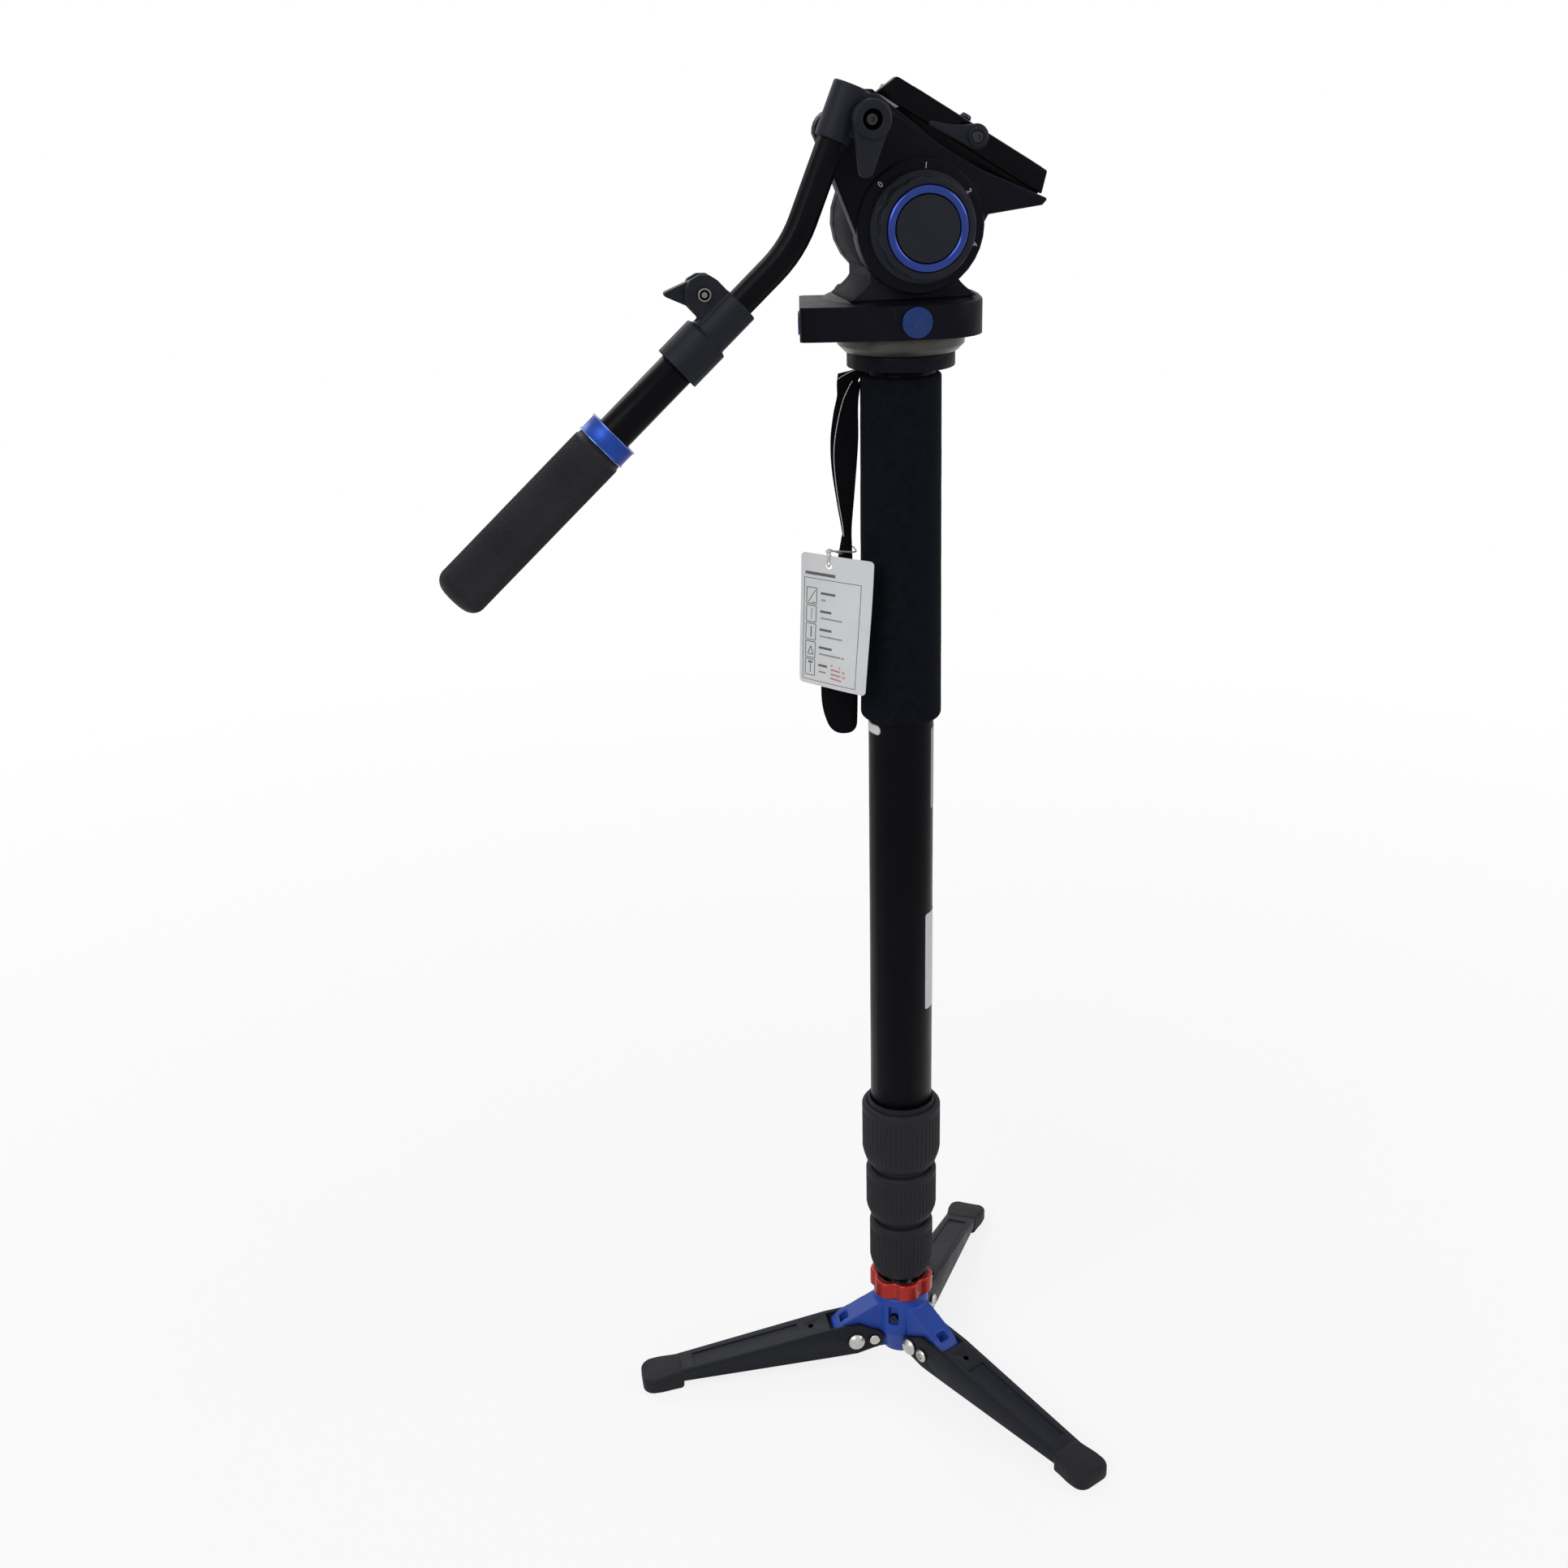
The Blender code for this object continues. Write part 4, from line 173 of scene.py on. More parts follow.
# Name, place in metres, width in metres, watts
LAMPS = (("front_lamp", (-2.1, -1.9, 2.4), 2.2, 64.0), ("side_lamp", (2.5, -1.0, 1.6), 1.4, 20.0),
         ("back_lamp", (-0.6, 2.4, 2.4), 1.8, 30.0))


def set_lamps():
    """Three soft square lamps, aimed at the middle of the column."""
    for name, spot, size, power in LAMPS:
        lamp = bpy.data.lights.new(name, "AREA")
        lamp.shape = "SQUARE"
        lamp.size = size
        lamp.energy = power
        holder = bpy.data.objects.new(name, lamp)
        bpy.context.scene.collection.objects.link(holder)
        holder.location = spot
        aim = Vector((0.0, 0.0, 0.4)) - Vector(spot)
        holder.rotation_euler = aim.to_track_quat("-Z", "Y").to_euler()


# Finishes
CLOUD_LOW, CLOUD_HIGH = 0.3, 0.7


def finish(name, colour, roughness, metallic=0.0, mottle=0.12, mottle_size=18.0,
           grain=0.0, grain_size=0.6, gloss_change=0.06, pattern=None, **sockets):
    """A finish with a cloudy tone, a change of gloss and a fine grain in its surface."""
    made = bpy.data.materials.new(name)
    made.use_nodes = True
    tree = made.node_tree
    link = tree.links.new
    shader = tree.nodes["Principled BSDF"]
    shader.inputs["Metallic"].default_value = metallic
    for socket, value in sockets.items():
        shader.inputs[socket.replace("_", " ")].default_value = value
    where = add_node(tree, "ShaderNodeTexCoord").outputs
    cloud = add_node(tree, "ShaderNodeTexNoise", {"Scale": 1.0 / (mottle_size * MM), "Detail": 5.0})
    link(where["Object"], cloud.inputs["Vector"])
    tone = add_node(tree, "ShaderNodeValToRGB")
    dark = [channel * (1.0 - mottle) for channel in colour]
    light = [min(1.0, channel * (1.0 + mottle)) for channel in colour]
    for stop, position, shade in zip(tone.color_ramp.elements, (CLOUD_LOW, CLOUD_HIGH), (dark, light)):
        stop.position = position
        stop.color = (*shade, 1.0)
    link(cloud.outputs["Fac"], tone.inputs["Fac"])
    link(tone.outputs["Color"], shader.inputs["Base Color"])
    gloss = add_node(tree, "ShaderNodeMapRange", {"From Min": CLOUD_LOW, "From Max": CLOUD_HIGH,
                                                  "To Min": max(0.02, roughness - gloss_change),
                                                  "To Max": roughness + gloss_change})
    link(cloud.outputs["Fac"], gloss.inputs["Value"])
    link(gloss.outputs["Result"], shader.inputs["Roughness"])
    relief = None
    if grain:
        fine = add_node(tree, "ShaderNodeTexNoise", {"Scale": 1.0 / (grain_size * MM), "Detail": 3.0})
        link(where["Object"], fine.inputs["Vector"])
        relief = bump(tree, fine.outputs["Fac"], grain, None)
    if pattern:
        relief = pattern(tree, where, relief)
    if relief:
        link(relief, shader.inputs["Normal"])
    return made


def bump(tree, value, depth, below):
    """Relief of a given depth, over the relief that is there already."""
    relief = add_node(tree, "ShaderNodeBump", {"Strength": 1.0, "Distance": depth * MM})
    tree.links.new(value, relief.inputs["Height"])
    if below:
        tree.links.new(below, relief.inputs["Normal"])
    return relief.outputs["Normal"]


def waves(tree, place, axis, count):
    """The phase of even waves along one axis of a place, with a count of waves to the unit."""
    split = add_node(tree, "ShaderNodeSeparateXYZ")
    tree.links.new(place, split.inputs[0])
    return math_node(tree, "MULTIPLY", split.outputs[axis], TURN * count)


KNURL_STARTS = 80
KNURL_PITCH = 2.9


def diamond_knurl(tree, where, below):
    """Crossed spiral grooves that follow the piece's own wrap, with painted shade in the grooves and painted
    highlight on the ridges, stronger along one hand.
    """
    around = waves(tree, where["UV"], "X", KNURL_STARTS)
    along = waves(tree, where["UV"], "Y", 1.0 / (KNURL_PITCH * MM))
    one = math_node(tree, "SINE", math_node(tree, "ADD", around, along))
    two = math_node(tree, "SINE", math_node(tree, "SUBTRACT", around, along))
    # Painted shade and highlight: the base colour is scaled from 0.2 in the grooves up to 1.7 on the ridges,
    # mostly along one hand.
    shade = add_node(tree, "ShaderNodeMapRange",
                     {"From Min": -0.8, "From Max": 0.8, "To Min": 0.2, "To Max": 1.7})
    mainly_one = math_node(tree, "ADD", math_node(tree, "MULTIPLY", one, 0.7),
                           math_node(tree, "MULTIPLY", two, 0.3))
    tree.links.new(mainly_one, shade.inputs["Value"])
    colour = tree.nodes["Principled BSDF"].inputs["Base Color"]
    painted_groove_shade = add_node(tree, "ShaderNodeVectorMath", operation="SCALE")
    tree.links.new(colour.links[0].from_socket, painted_groove_shade.inputs[0])
    tree.links.new(shade.outputs["Result"], painted_groove_shade.inputs["Scale"])
    tree.links.new(painted_groove_shade.outputs[0], colour)
    return bump(tree, math_node(tree, "MINIMUM", one, two), 0.15, below)


def webbing_weave(tree, where, below):
    """Close rows of herringbone over the strap's length."""
    across = math_node(tree, "SINE", waves(tree, where["UV"], "X", 1.0 / (1.1 * MM)))
    along = waves(tree, where["UV"], "Y", 1.0 / (0.9 * MM))
    slant = math_node(tree, "SINE", math_node(tree, "ADD", along, across))
    return bump(tree, math_node(tree, "ADD", slant, across), 0.12, below)


def turned_rings(tree, where, below):
    """Fine lathe lines round an upright axis."""
    rows = math_node(tree, "SINE", waves(tree, where["Object"], "Z", 1.0 / (0.35 * MM)))
    return bump(tree, rows, 0.01, below)


# Colour, roughness, metallic; mottle and its size; grain's depth and its size; change of gloss; pattern
FINISHES = {
    "casting_blue": finish("blue_paint", (0.018, 0.062, 0.36), 0.42, 0.0, 0.10, 9.0, 0.05, 0.35,
                           Specular_IOR_Level=0.25),
    "anodised_blue": finish("blue_anodising", (0.010, 0.062, 0.36), 0.3, 0.75, 0.12, 6.0, 0.01, 0.3),
    "anodised_red": finish("red_anodising", (0.36, 0.014, 0.010), 0.36, 0.5, 0.12, 6.0, 0.01, 0.3),
    "black_plastic": finish("charcoal_plastic", (0.011, 0.012, 0.018), 0.5, 0.0, 0.16, 14.0, 0.06, 0.5,
                            Specular_IOR_Level=0.12),
    "black_casting": finish("black_powder_coat", (0.0042, 0.0045, 0.0078), 0.42, 0.0, 0.16, 16.0, 0.05, 0.4,
                            Specular_IOR_Level=0.055),
    "black_tube": finish("black_satin_anodising", (0.0025, 0.0025, 0.004), 0.3, 0.0, 0.2, 30.0, 0.01, 0.25,
                         Specular_IOR_Level=0.05),
    "black_rubber": finish("black_rubber", (0.019, 0.019, 0.023), 0.6, 0.0, 0.14, 8.0, 0.05, 0.3,
                           Specular_IOR_Level=0.12),
    "black_foam": finish("black_foam", (0.0055, 0.0062, 0.0095), 0.9, 0.0, 0.3, 5.0, 0.3, 0.8,
                         Specular_IOR_Level=0.05),
    "grey_alloy": finish("turned_alloy", (0.058, 0.055, 0.050), 0.34, 0.85, 0.1, 12.0, 0.0, 0.5, 0.05,
                         turned_rings),
    "steel": finish("bright_steel", (0.50, 0.49, 0.47), 0.26, 1.0, 0.08, 4.0, 0.01, 0.4),
    "white_card": finish("coated_card", (0.68, 0.69, 0.70), 0.34, 0.0, 0.03, 20.0, 0.02, 1.2),
    "black_webbing": finish("black_webbing", (0.004, 0.004, 0.006), 0.78, 0.0, 0.18, 7.0, 0.04, 0.3, 0.05,
                            webbing_weave, Specular_IOR_Level=0.05),
    "nylon": finish("natural_nylon", (0.62, 0.62, 0.57), 0.46, 0.0, 0.06, 8.0, 0.03, 0.4),
}
# Its knurl pattern paints shade into the grooves and highlight onto the ridges of this rubber.
KNURLED = finish("knurled_rubber", (0.020, 0.020, 0.024), 0.5, 0.0, 0.14, 20.0, 0.0, 0.5, 0.06, diamond_knurl,
                 Specular_IOR_Level=0.15)
DIAL_FACE = finish("dial_face", (0.012, 0.014, 0.020), 0.5, 0.0, 0.1, 9.0, 0.04, 0.3, Specular_IOR_Level=0.12)
GLOSS_BLACK = finish("gloss_black_anodising", (0.0016, 0.0014, 0.003), 0.25, 0.0, 0.2, 12.0, 0.01, 0.3,
                     Specular_IOR_Level=0.06)
DRUM_BLACK = finish("satin_drum_casting", (0.026, 0.026, 0.031), 0.5, 0.0, 0.14, 9.0, 0.02, 0.3,
                    Specular_IOR_Level=0.006)
# Painted shade: near black with no shine, set into holes, recesses and grooves where only shade falls.
PAINTED_SHADE_BLACK = finish("painted_shade_black", (0.0008, 0.0008, 0.0012), 0.8, 0.0, 0.2, 3.0, Specular_IOR_Level=0.0)
RING_BLUE = finish("bright_blue_anodising", (0.005, 0.026, 0.19), 0.2, 0.85, 0.1, 8.0, 0.01, 0.3,
                   Coat_Weight=0.4, Coat_Roughness=0.15)
BAND_BLUE = finish("satin_blue_anodising", (0.008, 0.045, 0.28), 0.42, 0.7, 0.1, 8.0, 0.01, 0.3)
BADGE_BLUE = finish("blue_enamel", (0.006, 0.032, 0.15), 0.14, 0.0, 0.2, 2.0, 0.005, 0.3, Specular_IOR_Level=0.2)
BRIGHT_RIM = finish("bright_rim", (0.10, 0.16, 0.36), 0.2, 1.0, 0.06, 3.0, 0.01, 0.3)
DULL_STEEL = finish("dull_steel", (0.17, 0.165, 0.16), 0.35, 0.9, 0.1, 2.0, 0.01, 0.3)
DARK_STEEL = finish("dark_steel", (0.030, 0.030, 0.034), 0.35, 0.9, 0.1, 2.0, 0.01, 0.3)
SILVER_FOIL = finish("silver_foil", (0.42, 0.42, 0.43), 0.35, 0.6, 0.08, 5.0)
PAPER = finish("label_paper", (0.66, 0.67, 0.68), 0.55, 0.0, 0.05, 6.0, 0.02, 0.5)
GREY_LABEL = finish("grey_label", (0.30, 0.30, 0.31), 0.5, 0.0, 0.08, 4.0)
# Pale grey for the dial's printed numbers, and for the painted highlight along the strap's edges.
PALE_PRINT_AND_HIGHLIGHT = finish("pale_print_and_highlight", (0.50, 0.50, 0.51), 0.5, 0.0, 0.1, 2.0)
FAINT_PRINT = finish("faint_print", (0.28, 0.29, 0.30), 0.5, 0.0, 0.2, 2.0)
DARK_PRINT = finish("dark_print", (0.10, 0.10, 0.11), 0.5, 0.0, 0.2, 2.0)
RED_INK = finish("red_ink", (0.50, 0.20, 0.19), 0.5, 0.0, 0.15, 1.2)


# Making pieces
def put(work, name, body, place, slot, stands_for=(), look=None, smooth=40.0):
    """Turns a shape into a named piece in its place, riding on its body."""
    bmesh.ops.remove_doubles(work, verts=work.verts, dist=0.002)
    bmesh.ops.recalc_face_normals(work, faces=work.faces)
    work.transform(place @ Matrix.Scale(MM, 4))
    mesh = bpy.data.meshes.new(name)
    work.to_mesh(mesh)
    work.free()
    mesh.materials.append(look or FINISHES[slot])
    mesh.shade_smooth()
    mesh.set_sharp_from_angle(angle=smooth * DEG)
    piece = bpy.data.objects.new(name, mesh)
    bpy.context.scene.collection.objects.link(piece)
    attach(piece, body)
    if stands_for:
        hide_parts(*stands_for)
    return piece


def lathe(profile, steps=96, closed=True):
    """A profile of (radius, height) spun about Z, with a wrap laid on it."""
    work = bmesh.new()
    points = [work.verts.new((radius, 0.0, height)) for radius, height in profile]
    pairs = list(zip(points, points[1:]))
    if closed:
        pairs.append((points[-1], points[0]))
    edges = [work.edges.new(pair) for pair in pairs]
    bmesh.ops.spin(work, geom=points + edges, cent=(0.0, 0.0, 0.0), axis=(0.0, 0.0, 1.0), angle=TURN,
                   steps=steps, use_merge=True)
    bmesh.ops.remove_doubles(work, verts=work.verts, dist=0.002)
    wrap(work)
    return work


def wrap(work):
    """Turns round the axis and metres along it, as the piece's own map."""
    layer = work.loops.layers.uv.new("wrap")
    for face in work.faces:
        middle = face.calc_center_median()
        base = math.atan2(middle.y, middle.x)
        for loop in face.loops:
            angle = math.atan2(loop.vert.co.y, loop.vert.co.x)
            angle = base + (angle - base + math.pi) % TURN - math.pi
            loop[layer].uv = (angle / TURN, loop.vert.co.z * MM)


def lay_map(work, spots):
    """Gives each point its spot on the piece's own map."""
    layer = work.loops.layers.uv.new("wrap")
    for face in work.faces:
        for loop in face.loops:
            loop[layer].uv = spots[loop.vert]


def slab(outline, low, high):
    """A closed outline in X and Y raised from low to high."""
    work = bmesh.new()
    face = work.faces.new([work.verts.new((x, y, low)) for x, y in outline])
    grown = bmesh.ops.extrude_face_region(work, geom=[face])["geom"]
    tops = [item for item in grown if isinstance(item, bmesh.types.BMVert)]
    bmesh.ops.translate(work, verts=tops, vec=(0.0, 0.0, high - low))
    bmesh.ops.recalc_face_normals(work, faces=work.faces)
    return work


def soften(work, width, segments, least):
    """Rounds every edge that turns more than the least angle."""
    sharp = [edge for edge in work.edges
             if len(edge.link_faces) == 2 and edge.calc_face_angle(0.0) > least * DEG]
    bmesh.ops.bevel(work, geom=sharp, offset=width, segments=segments, affect="EDGES", profile=0.5,
                    material=-1, clamp_overlap=True)
    return work


def cut_rows(work, step, count, axis=0):
    """Cuts evenly spaced rows across a shape, so that it can bend."""
    facing = Vector((0.0, 0.0, 0.0))
    facing[axis] = 1.0
    for i in range(-count, count + 1):
        bmesh.ops.bisect_plane(work, geom=work.verts[:] + work.edges[:] + work.faces[:],
                               plane_co=facing * i * step, plane_no=facing)


def arc(centre, radius, start, end, steps=16):
    """Points along a part of a circle."""
    points = []
    for i in range(steps + 1):
        angle = (start + (end - start) * i / steps) * DEG
        points.append((centre[0] + radius * math.cos(angle), centre[1] + radius * math.sin(angle)))
    return points


def rounded(half_x, half_y, corner, centre=(0.0, 0.0)):
    """The outline of a box with round corners."""
    across, up = half_x - corner, half_y - corner
    outline = []
    for quarter, (x, y) in enumerate(((across, up), (-across, up), (-across, -up), (across, -up))):
        outline += arc((centre[0] + x, centre[1] + y), corner, 90.0 * quarter, 90.0 * quarter + 90.0, 6)
    return outline


def circle(radius, steps=64, centre=(0.0, 0.0)):
    """The outline of a round, or of a hexagon with six steps."""
    return [(centre[0] + radius * math.cos(TURN * i / steps), centre[1] + radius * math.sin(TURN * i / steps))
            for i in range(steps)]


def teardrop(hub, tip, length, angle, belly=0.0, steps=14):
    """A lever's outline: round hub, flanks with an optional belly, round tip."""
    lean = math.degrees(math.acos((hub - tip) / length))
    far = (length * math.cos(angle * DEG), length * math.sin(angle * DEG))
    outline = arc((0.0, 0.0), hub, angle + lean, angle + 360.0 - lean, 3 * steps)
    ending = arc(far, tip, angle - lean, angle + lean, steps)
    start, end = Vector(outline[-1]), Vector(ending[0])
    out = Vector((math.cos((angle - lean) * DEG), math.sin((angle - lean) * DEG)))
    for i in range(1, steps):
        share = i / steps
        outline.append(tuple(start.lerp(end, share) + out * belly * math.sin(math.pi * share)))
    return outline + ending


def blend_value(table, place):
    """A smooth reading of a short table of (place, size) pairs."""
    last = len(table) - 1
    i = 0
    while i < last - 1 and place > table[i + 1][0]:
        i += 1
    (x0, y0), (x1, y1) = table[i], table[i + 1]
    before, after = table[max(0, i - 1)], table[min(last, i + 2)]
    slope_0 = (y1 - before[1]) / (x1 - before[0])
    slope_1 = (after[1] - y0) / (after[0] - x0)
    step = x1 - x0
    t = max(0.0, min(1.0, (place - x0) / step))
    return ((2 * t ** 3 - 3 * t ** 2 + 1) * y0 + (t ** 3 - 2 * t ** 2 + t) * step * slope_0
            + (3 * t ** 2 - 2 * t ** 3) * y1 + (t ** 3 - t ** 2) * step * slope_1)


def ramp(value, start, width):
    """Nought up to the start, and one from a width past it."""
    return max(0.0, min(1.0, (value - start) / width))


def push_out(vert, lift):
    """Moves a point away from the axis."""
    reach = math.hypot(vert.co.x, vert.co.y)
    vert.co.x *= (reach + lift) / reach
    vert.co.y *= (reach + lift) / reach


def scallop(work, count, depth, sharpness, least, fade=lambda height: 1.0):
    """Presses evenly spaced hollows into a turned piece's outer side."""
    for vert in work.verts:
        if math.hypot(vert.co.x, vert.co.y) >= least:
            angle = math.atan2(vert.co.y, vert.co.x)
            push_out(vert, -depth * (0.5 + 0.5 * math.cos(count * angle)) ** sharpness * fade(vert.co.z))
    return work


def hold(data):
    """A passing object that holds a mesh or a curve."""
    holder = bpy.data.objects.new("shape", data)
    bpy.context.scene.collection.objects.link(holder)
    return holder


def settle(holder, *others):
    """The finished shape of a passing object, which is removed with its helpers."""
    bpy.context.view_layer.update()
    made = holder.evaluated_get(bpy.context.evaluated_depsgraph_get())
    work = bmesh.new()
    work.from_mesh(bpy.data.meshes.new_from_object(made))
    for item in (holder, *others):
        bpy.data.objects.remove(item, do_unlink=True)
    return work


def carve(*shapes):
    """Cuts the other closed shapes out of the first."""
    holders = []
    for shape in shapes:
        mesh = bpy.data.meshes.new("shape")
        bmesh.ops.recalc_face_normals(shape, faces=shape.faces)
        shape.to_mesh(mesh)
        shape.free()
        holders.append(hold(mesh))
    for cutter in holders[1:]:
        step = holders[0].modifiers.new("cut", "BOOLEAN")
        step.operation = "DIFFERENCE"
        step.solver = "EXACT"
        step.object = cutter
    return settle(*holders)


def socket_screw(radius, height, hex_radius, depth):
    """A round screw head with a soft rim and a hexagon socket."""
    edge = 0.18 * radius
    head = lathe([(0.0, 0.0), (radius, 0.0)] + arc((radius - edge, height - edge), edge, 0.0, 90.0, 6)
                 + [(0.0, height)], 48, closed=False)
    return carve(head, slab(circle(hex_radius, 6), height - depth, height + 1.0))


def tube_along(points, radius):
    """A round bar along a smooth path, as a mesh."""
    curve = bpy.data.curves.new("path", "CURVE")
    curve.dimensions = "3D"
    curve.bevel_depth = radius
    curve.bevel_resolution = 4
    curve.use_fill_caps = True
    spline = curve.splines.new("POLY")
    spline.points.add(len(points) - 1)
    for point, place in zip(spline.points, points):
        point.co = (*place, 1.0)
    return settle(hold(curve))


def smooth_path(points, steps=6):
    """More points along a path, laid on a smooth curve through the given ones."""
    made = []
    last = len(points) - 1
    for i in range(last):
        before, here = Vector(points[max(0, i - 1)]), Vector(points[i])
        there, after = Vector(points[i + 1]), Vector(points[min(last, i + 2)])
        for j in range(steps):
            t = j / steps
            made.append(0.5 * (2.0 * here + (there - before) * t
                               + (2.0 * before - 5.0 * here + 4.0 * there - after) * t ** 2
                               + (3.0 * here - before - 3.0 * there + after) * t ** 3))
    return made + [Vector(points[last])]


def cast(name, fineness, rounds):
    """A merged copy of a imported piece, rebuilt evenly and eased as a casting's corners are."""
    mesh = nodes[name].data.copy()
    work = bmesh.new()
    work.from_mesh(mesh)
    bmesh.ops.remove_doubles(work, verts=work.verts, dist=0.000005)
    bmesh.ops.recalc_face_normals(work, faces=work.faces)
    work.to_mesh(mesh)
    work.free()
    holder = hold(mesh)
    even = holder.modifiers.new("even", "REMESH")
    even.mode = "VOXEL"
    even.voxel_size = fineness * MM
    ease = holder.modifiers.new("ease", "SMOOTH")
    ease.factor = 0.5
    ease.iterations = rounds
    work = settle(holder)
    work.transform(Matrix.Scale(1.0 / MM, 4))
    return work


# Column
# Bottom, crest, outer radius, mouth radius, taper's height, bore radius, cavity radius, rows of points
COLLARS = ((143.3, 182.8, 23.5, 21.0, 9.0, 16.8, 20.4, 35), (105.7, 138.3, 21.3, 19.0, 7.0, 14.6, 18.2, 28),
           (64.8, 101.0, 19.3, 16.2, 10.0, 12.4, 16.0, 29))
COLLAR_ROUND = 2.4
FLUTES = 48
FLUTE_DEPTH = 0.55


def make_collars():
    """Rubber grip rings: a smooth rounded crest, and fine flutes that die out over the taper."""
    for number, (bottom, crest, outer, mouth, taper, bore, cavity, rows) in enumerate(COLLARS, 1):
        shoulder, waist = crest - COLLAR_ROUND, bottom + taper
        profile = [(cavity, crest - 0.5), (cavity + 0.3, crest)]
        profile += arc((outer - COLLAR_ROUND, shoulder), COLLAR_ROUND, 90.0, 0.0, 8)
        for row in range(1, rows):
            profile.append((outer, shoulder + (waist - shoulder) * row / rows))
        for row in range(13):
            share = 1.0 - row / 12.0
            profile.append((mouth + (outer - mouth) * (1.0 - (1.0 - share) ** 1.35), bottom + taper * share))
        profile += [(mouth - 0.5, bottom), (bore, bottom), (bore, bottom + 2.0), (cavity, waist)]
        work = lathe(profile, FLUTES * 6)

        def fade(height, low=bottom, high=crest):
            return ramp(high - 4.6 - height, 0.0, 0.9) * ramp(height, low + 1.0, 4.5)
        scallop(work, FLUTES, FLUTE_DEPTH, 1.5, mouth - 0.1, fade)
        node = "collar_%d" % number
        put(work, node + "_ribbed", "twist_lock_%d" % number, COLUMN, "black_rubber", (node,), smooth=50.0)


def make_foam():
    """The foam sleeve, with the slight unevenness of cut foam."""
    low, high = 427.5, 617.2
    wide, narrow, bore = 22.3, 21.4, 18.4
    profile = [(bore, high)] + arc((narrow - 1.8, high - 1.8), 1.8, 90.0, 0.0, 6)
    rows = 96
    for row in range(1, rows):
        share = row / rows
        profile.append((narrow + (wide - narrow) * share, high - 1.8 - (high - low - 5.0) * share))
    profile += arc((wide - 3.2, low + 3.2), 3.2, 0.0, -90.0, 8) + [(bore, low)]
    work = lathe(profile, 144)
    for vert in work.verts:
        if math.hypot(vert.co.x, vert.co.y) > bore + 1.0:
            push_out(vert, 0.10 * noise.noise(vert.co * 0.09) + 0.045 * noise.noise(vert.co * 0.42))
    sleeve = put(work, "foam_sleeve", "section_1", COLUMN, "black_foam", ("foam_grip",), smooth=60.0)


# Name, half width, half height, corner, height on the tube, azimuth, thickness, slot, look
LABELS = (("tube_pill_label", 8.5, 2.8, 2.7, 422.6, -171.0, 0.09, "grey_alloy", SILVER_FOIL),
          ("tube_pill_face", 7.8, 2.1, 2.0, 422.6, -171.0, 0.12, "white_card", PAPER),
          ("tube_blank_label", 11.0, 30.5, 1.5, 279.6, -21.0, 0.09, "white_card", PAPER),
          ("tube_grey_label", 10.5, 24.0, 1.5, 398.0, -7.0, 0.09, "white_card", GREY_LABEL))


def make_labels():
    """Bare patches, laid round the tube where it carries its stickers."""
    radius, step = 18.2, 1.2
    for name, half_x, half_y, corner, height, azimuth, rise, slot, look in LABELS:
        work = slab(rounded(half_x, half_y, corner), 0.0, rise)
        cut_rows(work, step, int(half_x / step))
        for vert in work.verts:
            angle = azimuth * DEG + vert.co.x / radius
            reach = radius + 0.02 + vert.co.z
            vert.co = Vector((reach * math.cos(angle), reach * math.sin(angle), height + vert.co.y))
        put(work, name, "section_1", COLUMN, slot, look=look, smooth=35.0)


# Strap: its edge lines are (drop from the top, reach from the column's axis)
STRAP = COLUMN @ turned(167.0)
STRAP_TOP = 620.7
STRAP_WAIST = 90.0
WEBBING = 1.2
BACK_OUTER = ((0.5, 33.0), (6.5, 33.6), (14.0, 33.6), (24.0, 35.6), (38.0, 37.3), (52.0, 37.0), (70.0, 34.6),
              (90.0, 31.4), (98.0, 31.0))
BACK_INNER = ((0.5, 18.8), (3.0, 19.4), (5.5, 21.8), (14.0, 23.0), (38.0, 25.2), (70.0, 26.0), (90.0, 26.6),
              (98.0, 26.4))
FRONT_OUTER = ((7.0, 25.0), (10.0, 27.0), (18.0, 30.6), (33.0, 34.2), (47.0, 35.6), (66.0, 34.2), (84.0, 31.5),
               (92.0, 30.6))
FRONT_INNER = ((7.0, 21.0), (18.0, 22.4), (38.0, 22.6), (66.0, 24.8), (84.0, 26.4), (92.0, 26.6))
PAD_INNER = ((88.0, 26.6), (110.0, 26.0), (140.0, 25.2), (176.8, 24.0), (195.0, 24.3), (203.5, 24.8))
PAD_OUTER = ((88.0, 31.5), (104.0, 34.4), (125.0, 38.6), (150.0, 42.6), (176.8, 44.3), (190.0, 43.2),
             (203.5, 38.6))


def make_ribbon(name, outer, inner, depth):
    """Webbing between two edge lines."""
    work = bmesh.new()
    bmesh.ops.create_grid(work, x_segments=8, y_segments=72, size=0.5)
    start, end = outer[0][0], outer[-1][0]
    spots = {}
    for vert in work.verts:
        across, along = vert.co.x + 0.5, 0.5 - vert.co.y
        drop = start + (end - start) * along
        near, far = blend_value(inner, drop), blend_value(outer, drop)
        reach = near + (far - near) * across
        drop += 3.4 * across * (1.0 - along) ** 6
        swell = 0.35 * math.sin(math.pi * across) + 0.5 * math.sin(drop / 11.0) * (across - 0.5)
        spots[vert] = (across * 11.0 * MM, drop * MM)
        vert.co = Vector((reach, depth + swell, STRAP_TOP - drop))
    lay_map(work, spots)
    bmesh.ops.solidify(work, geom=work.faces[:], thickness=WEBBING)
    put(work, name, "section_1", STRAP, "black_webbing", smooth=60.0)


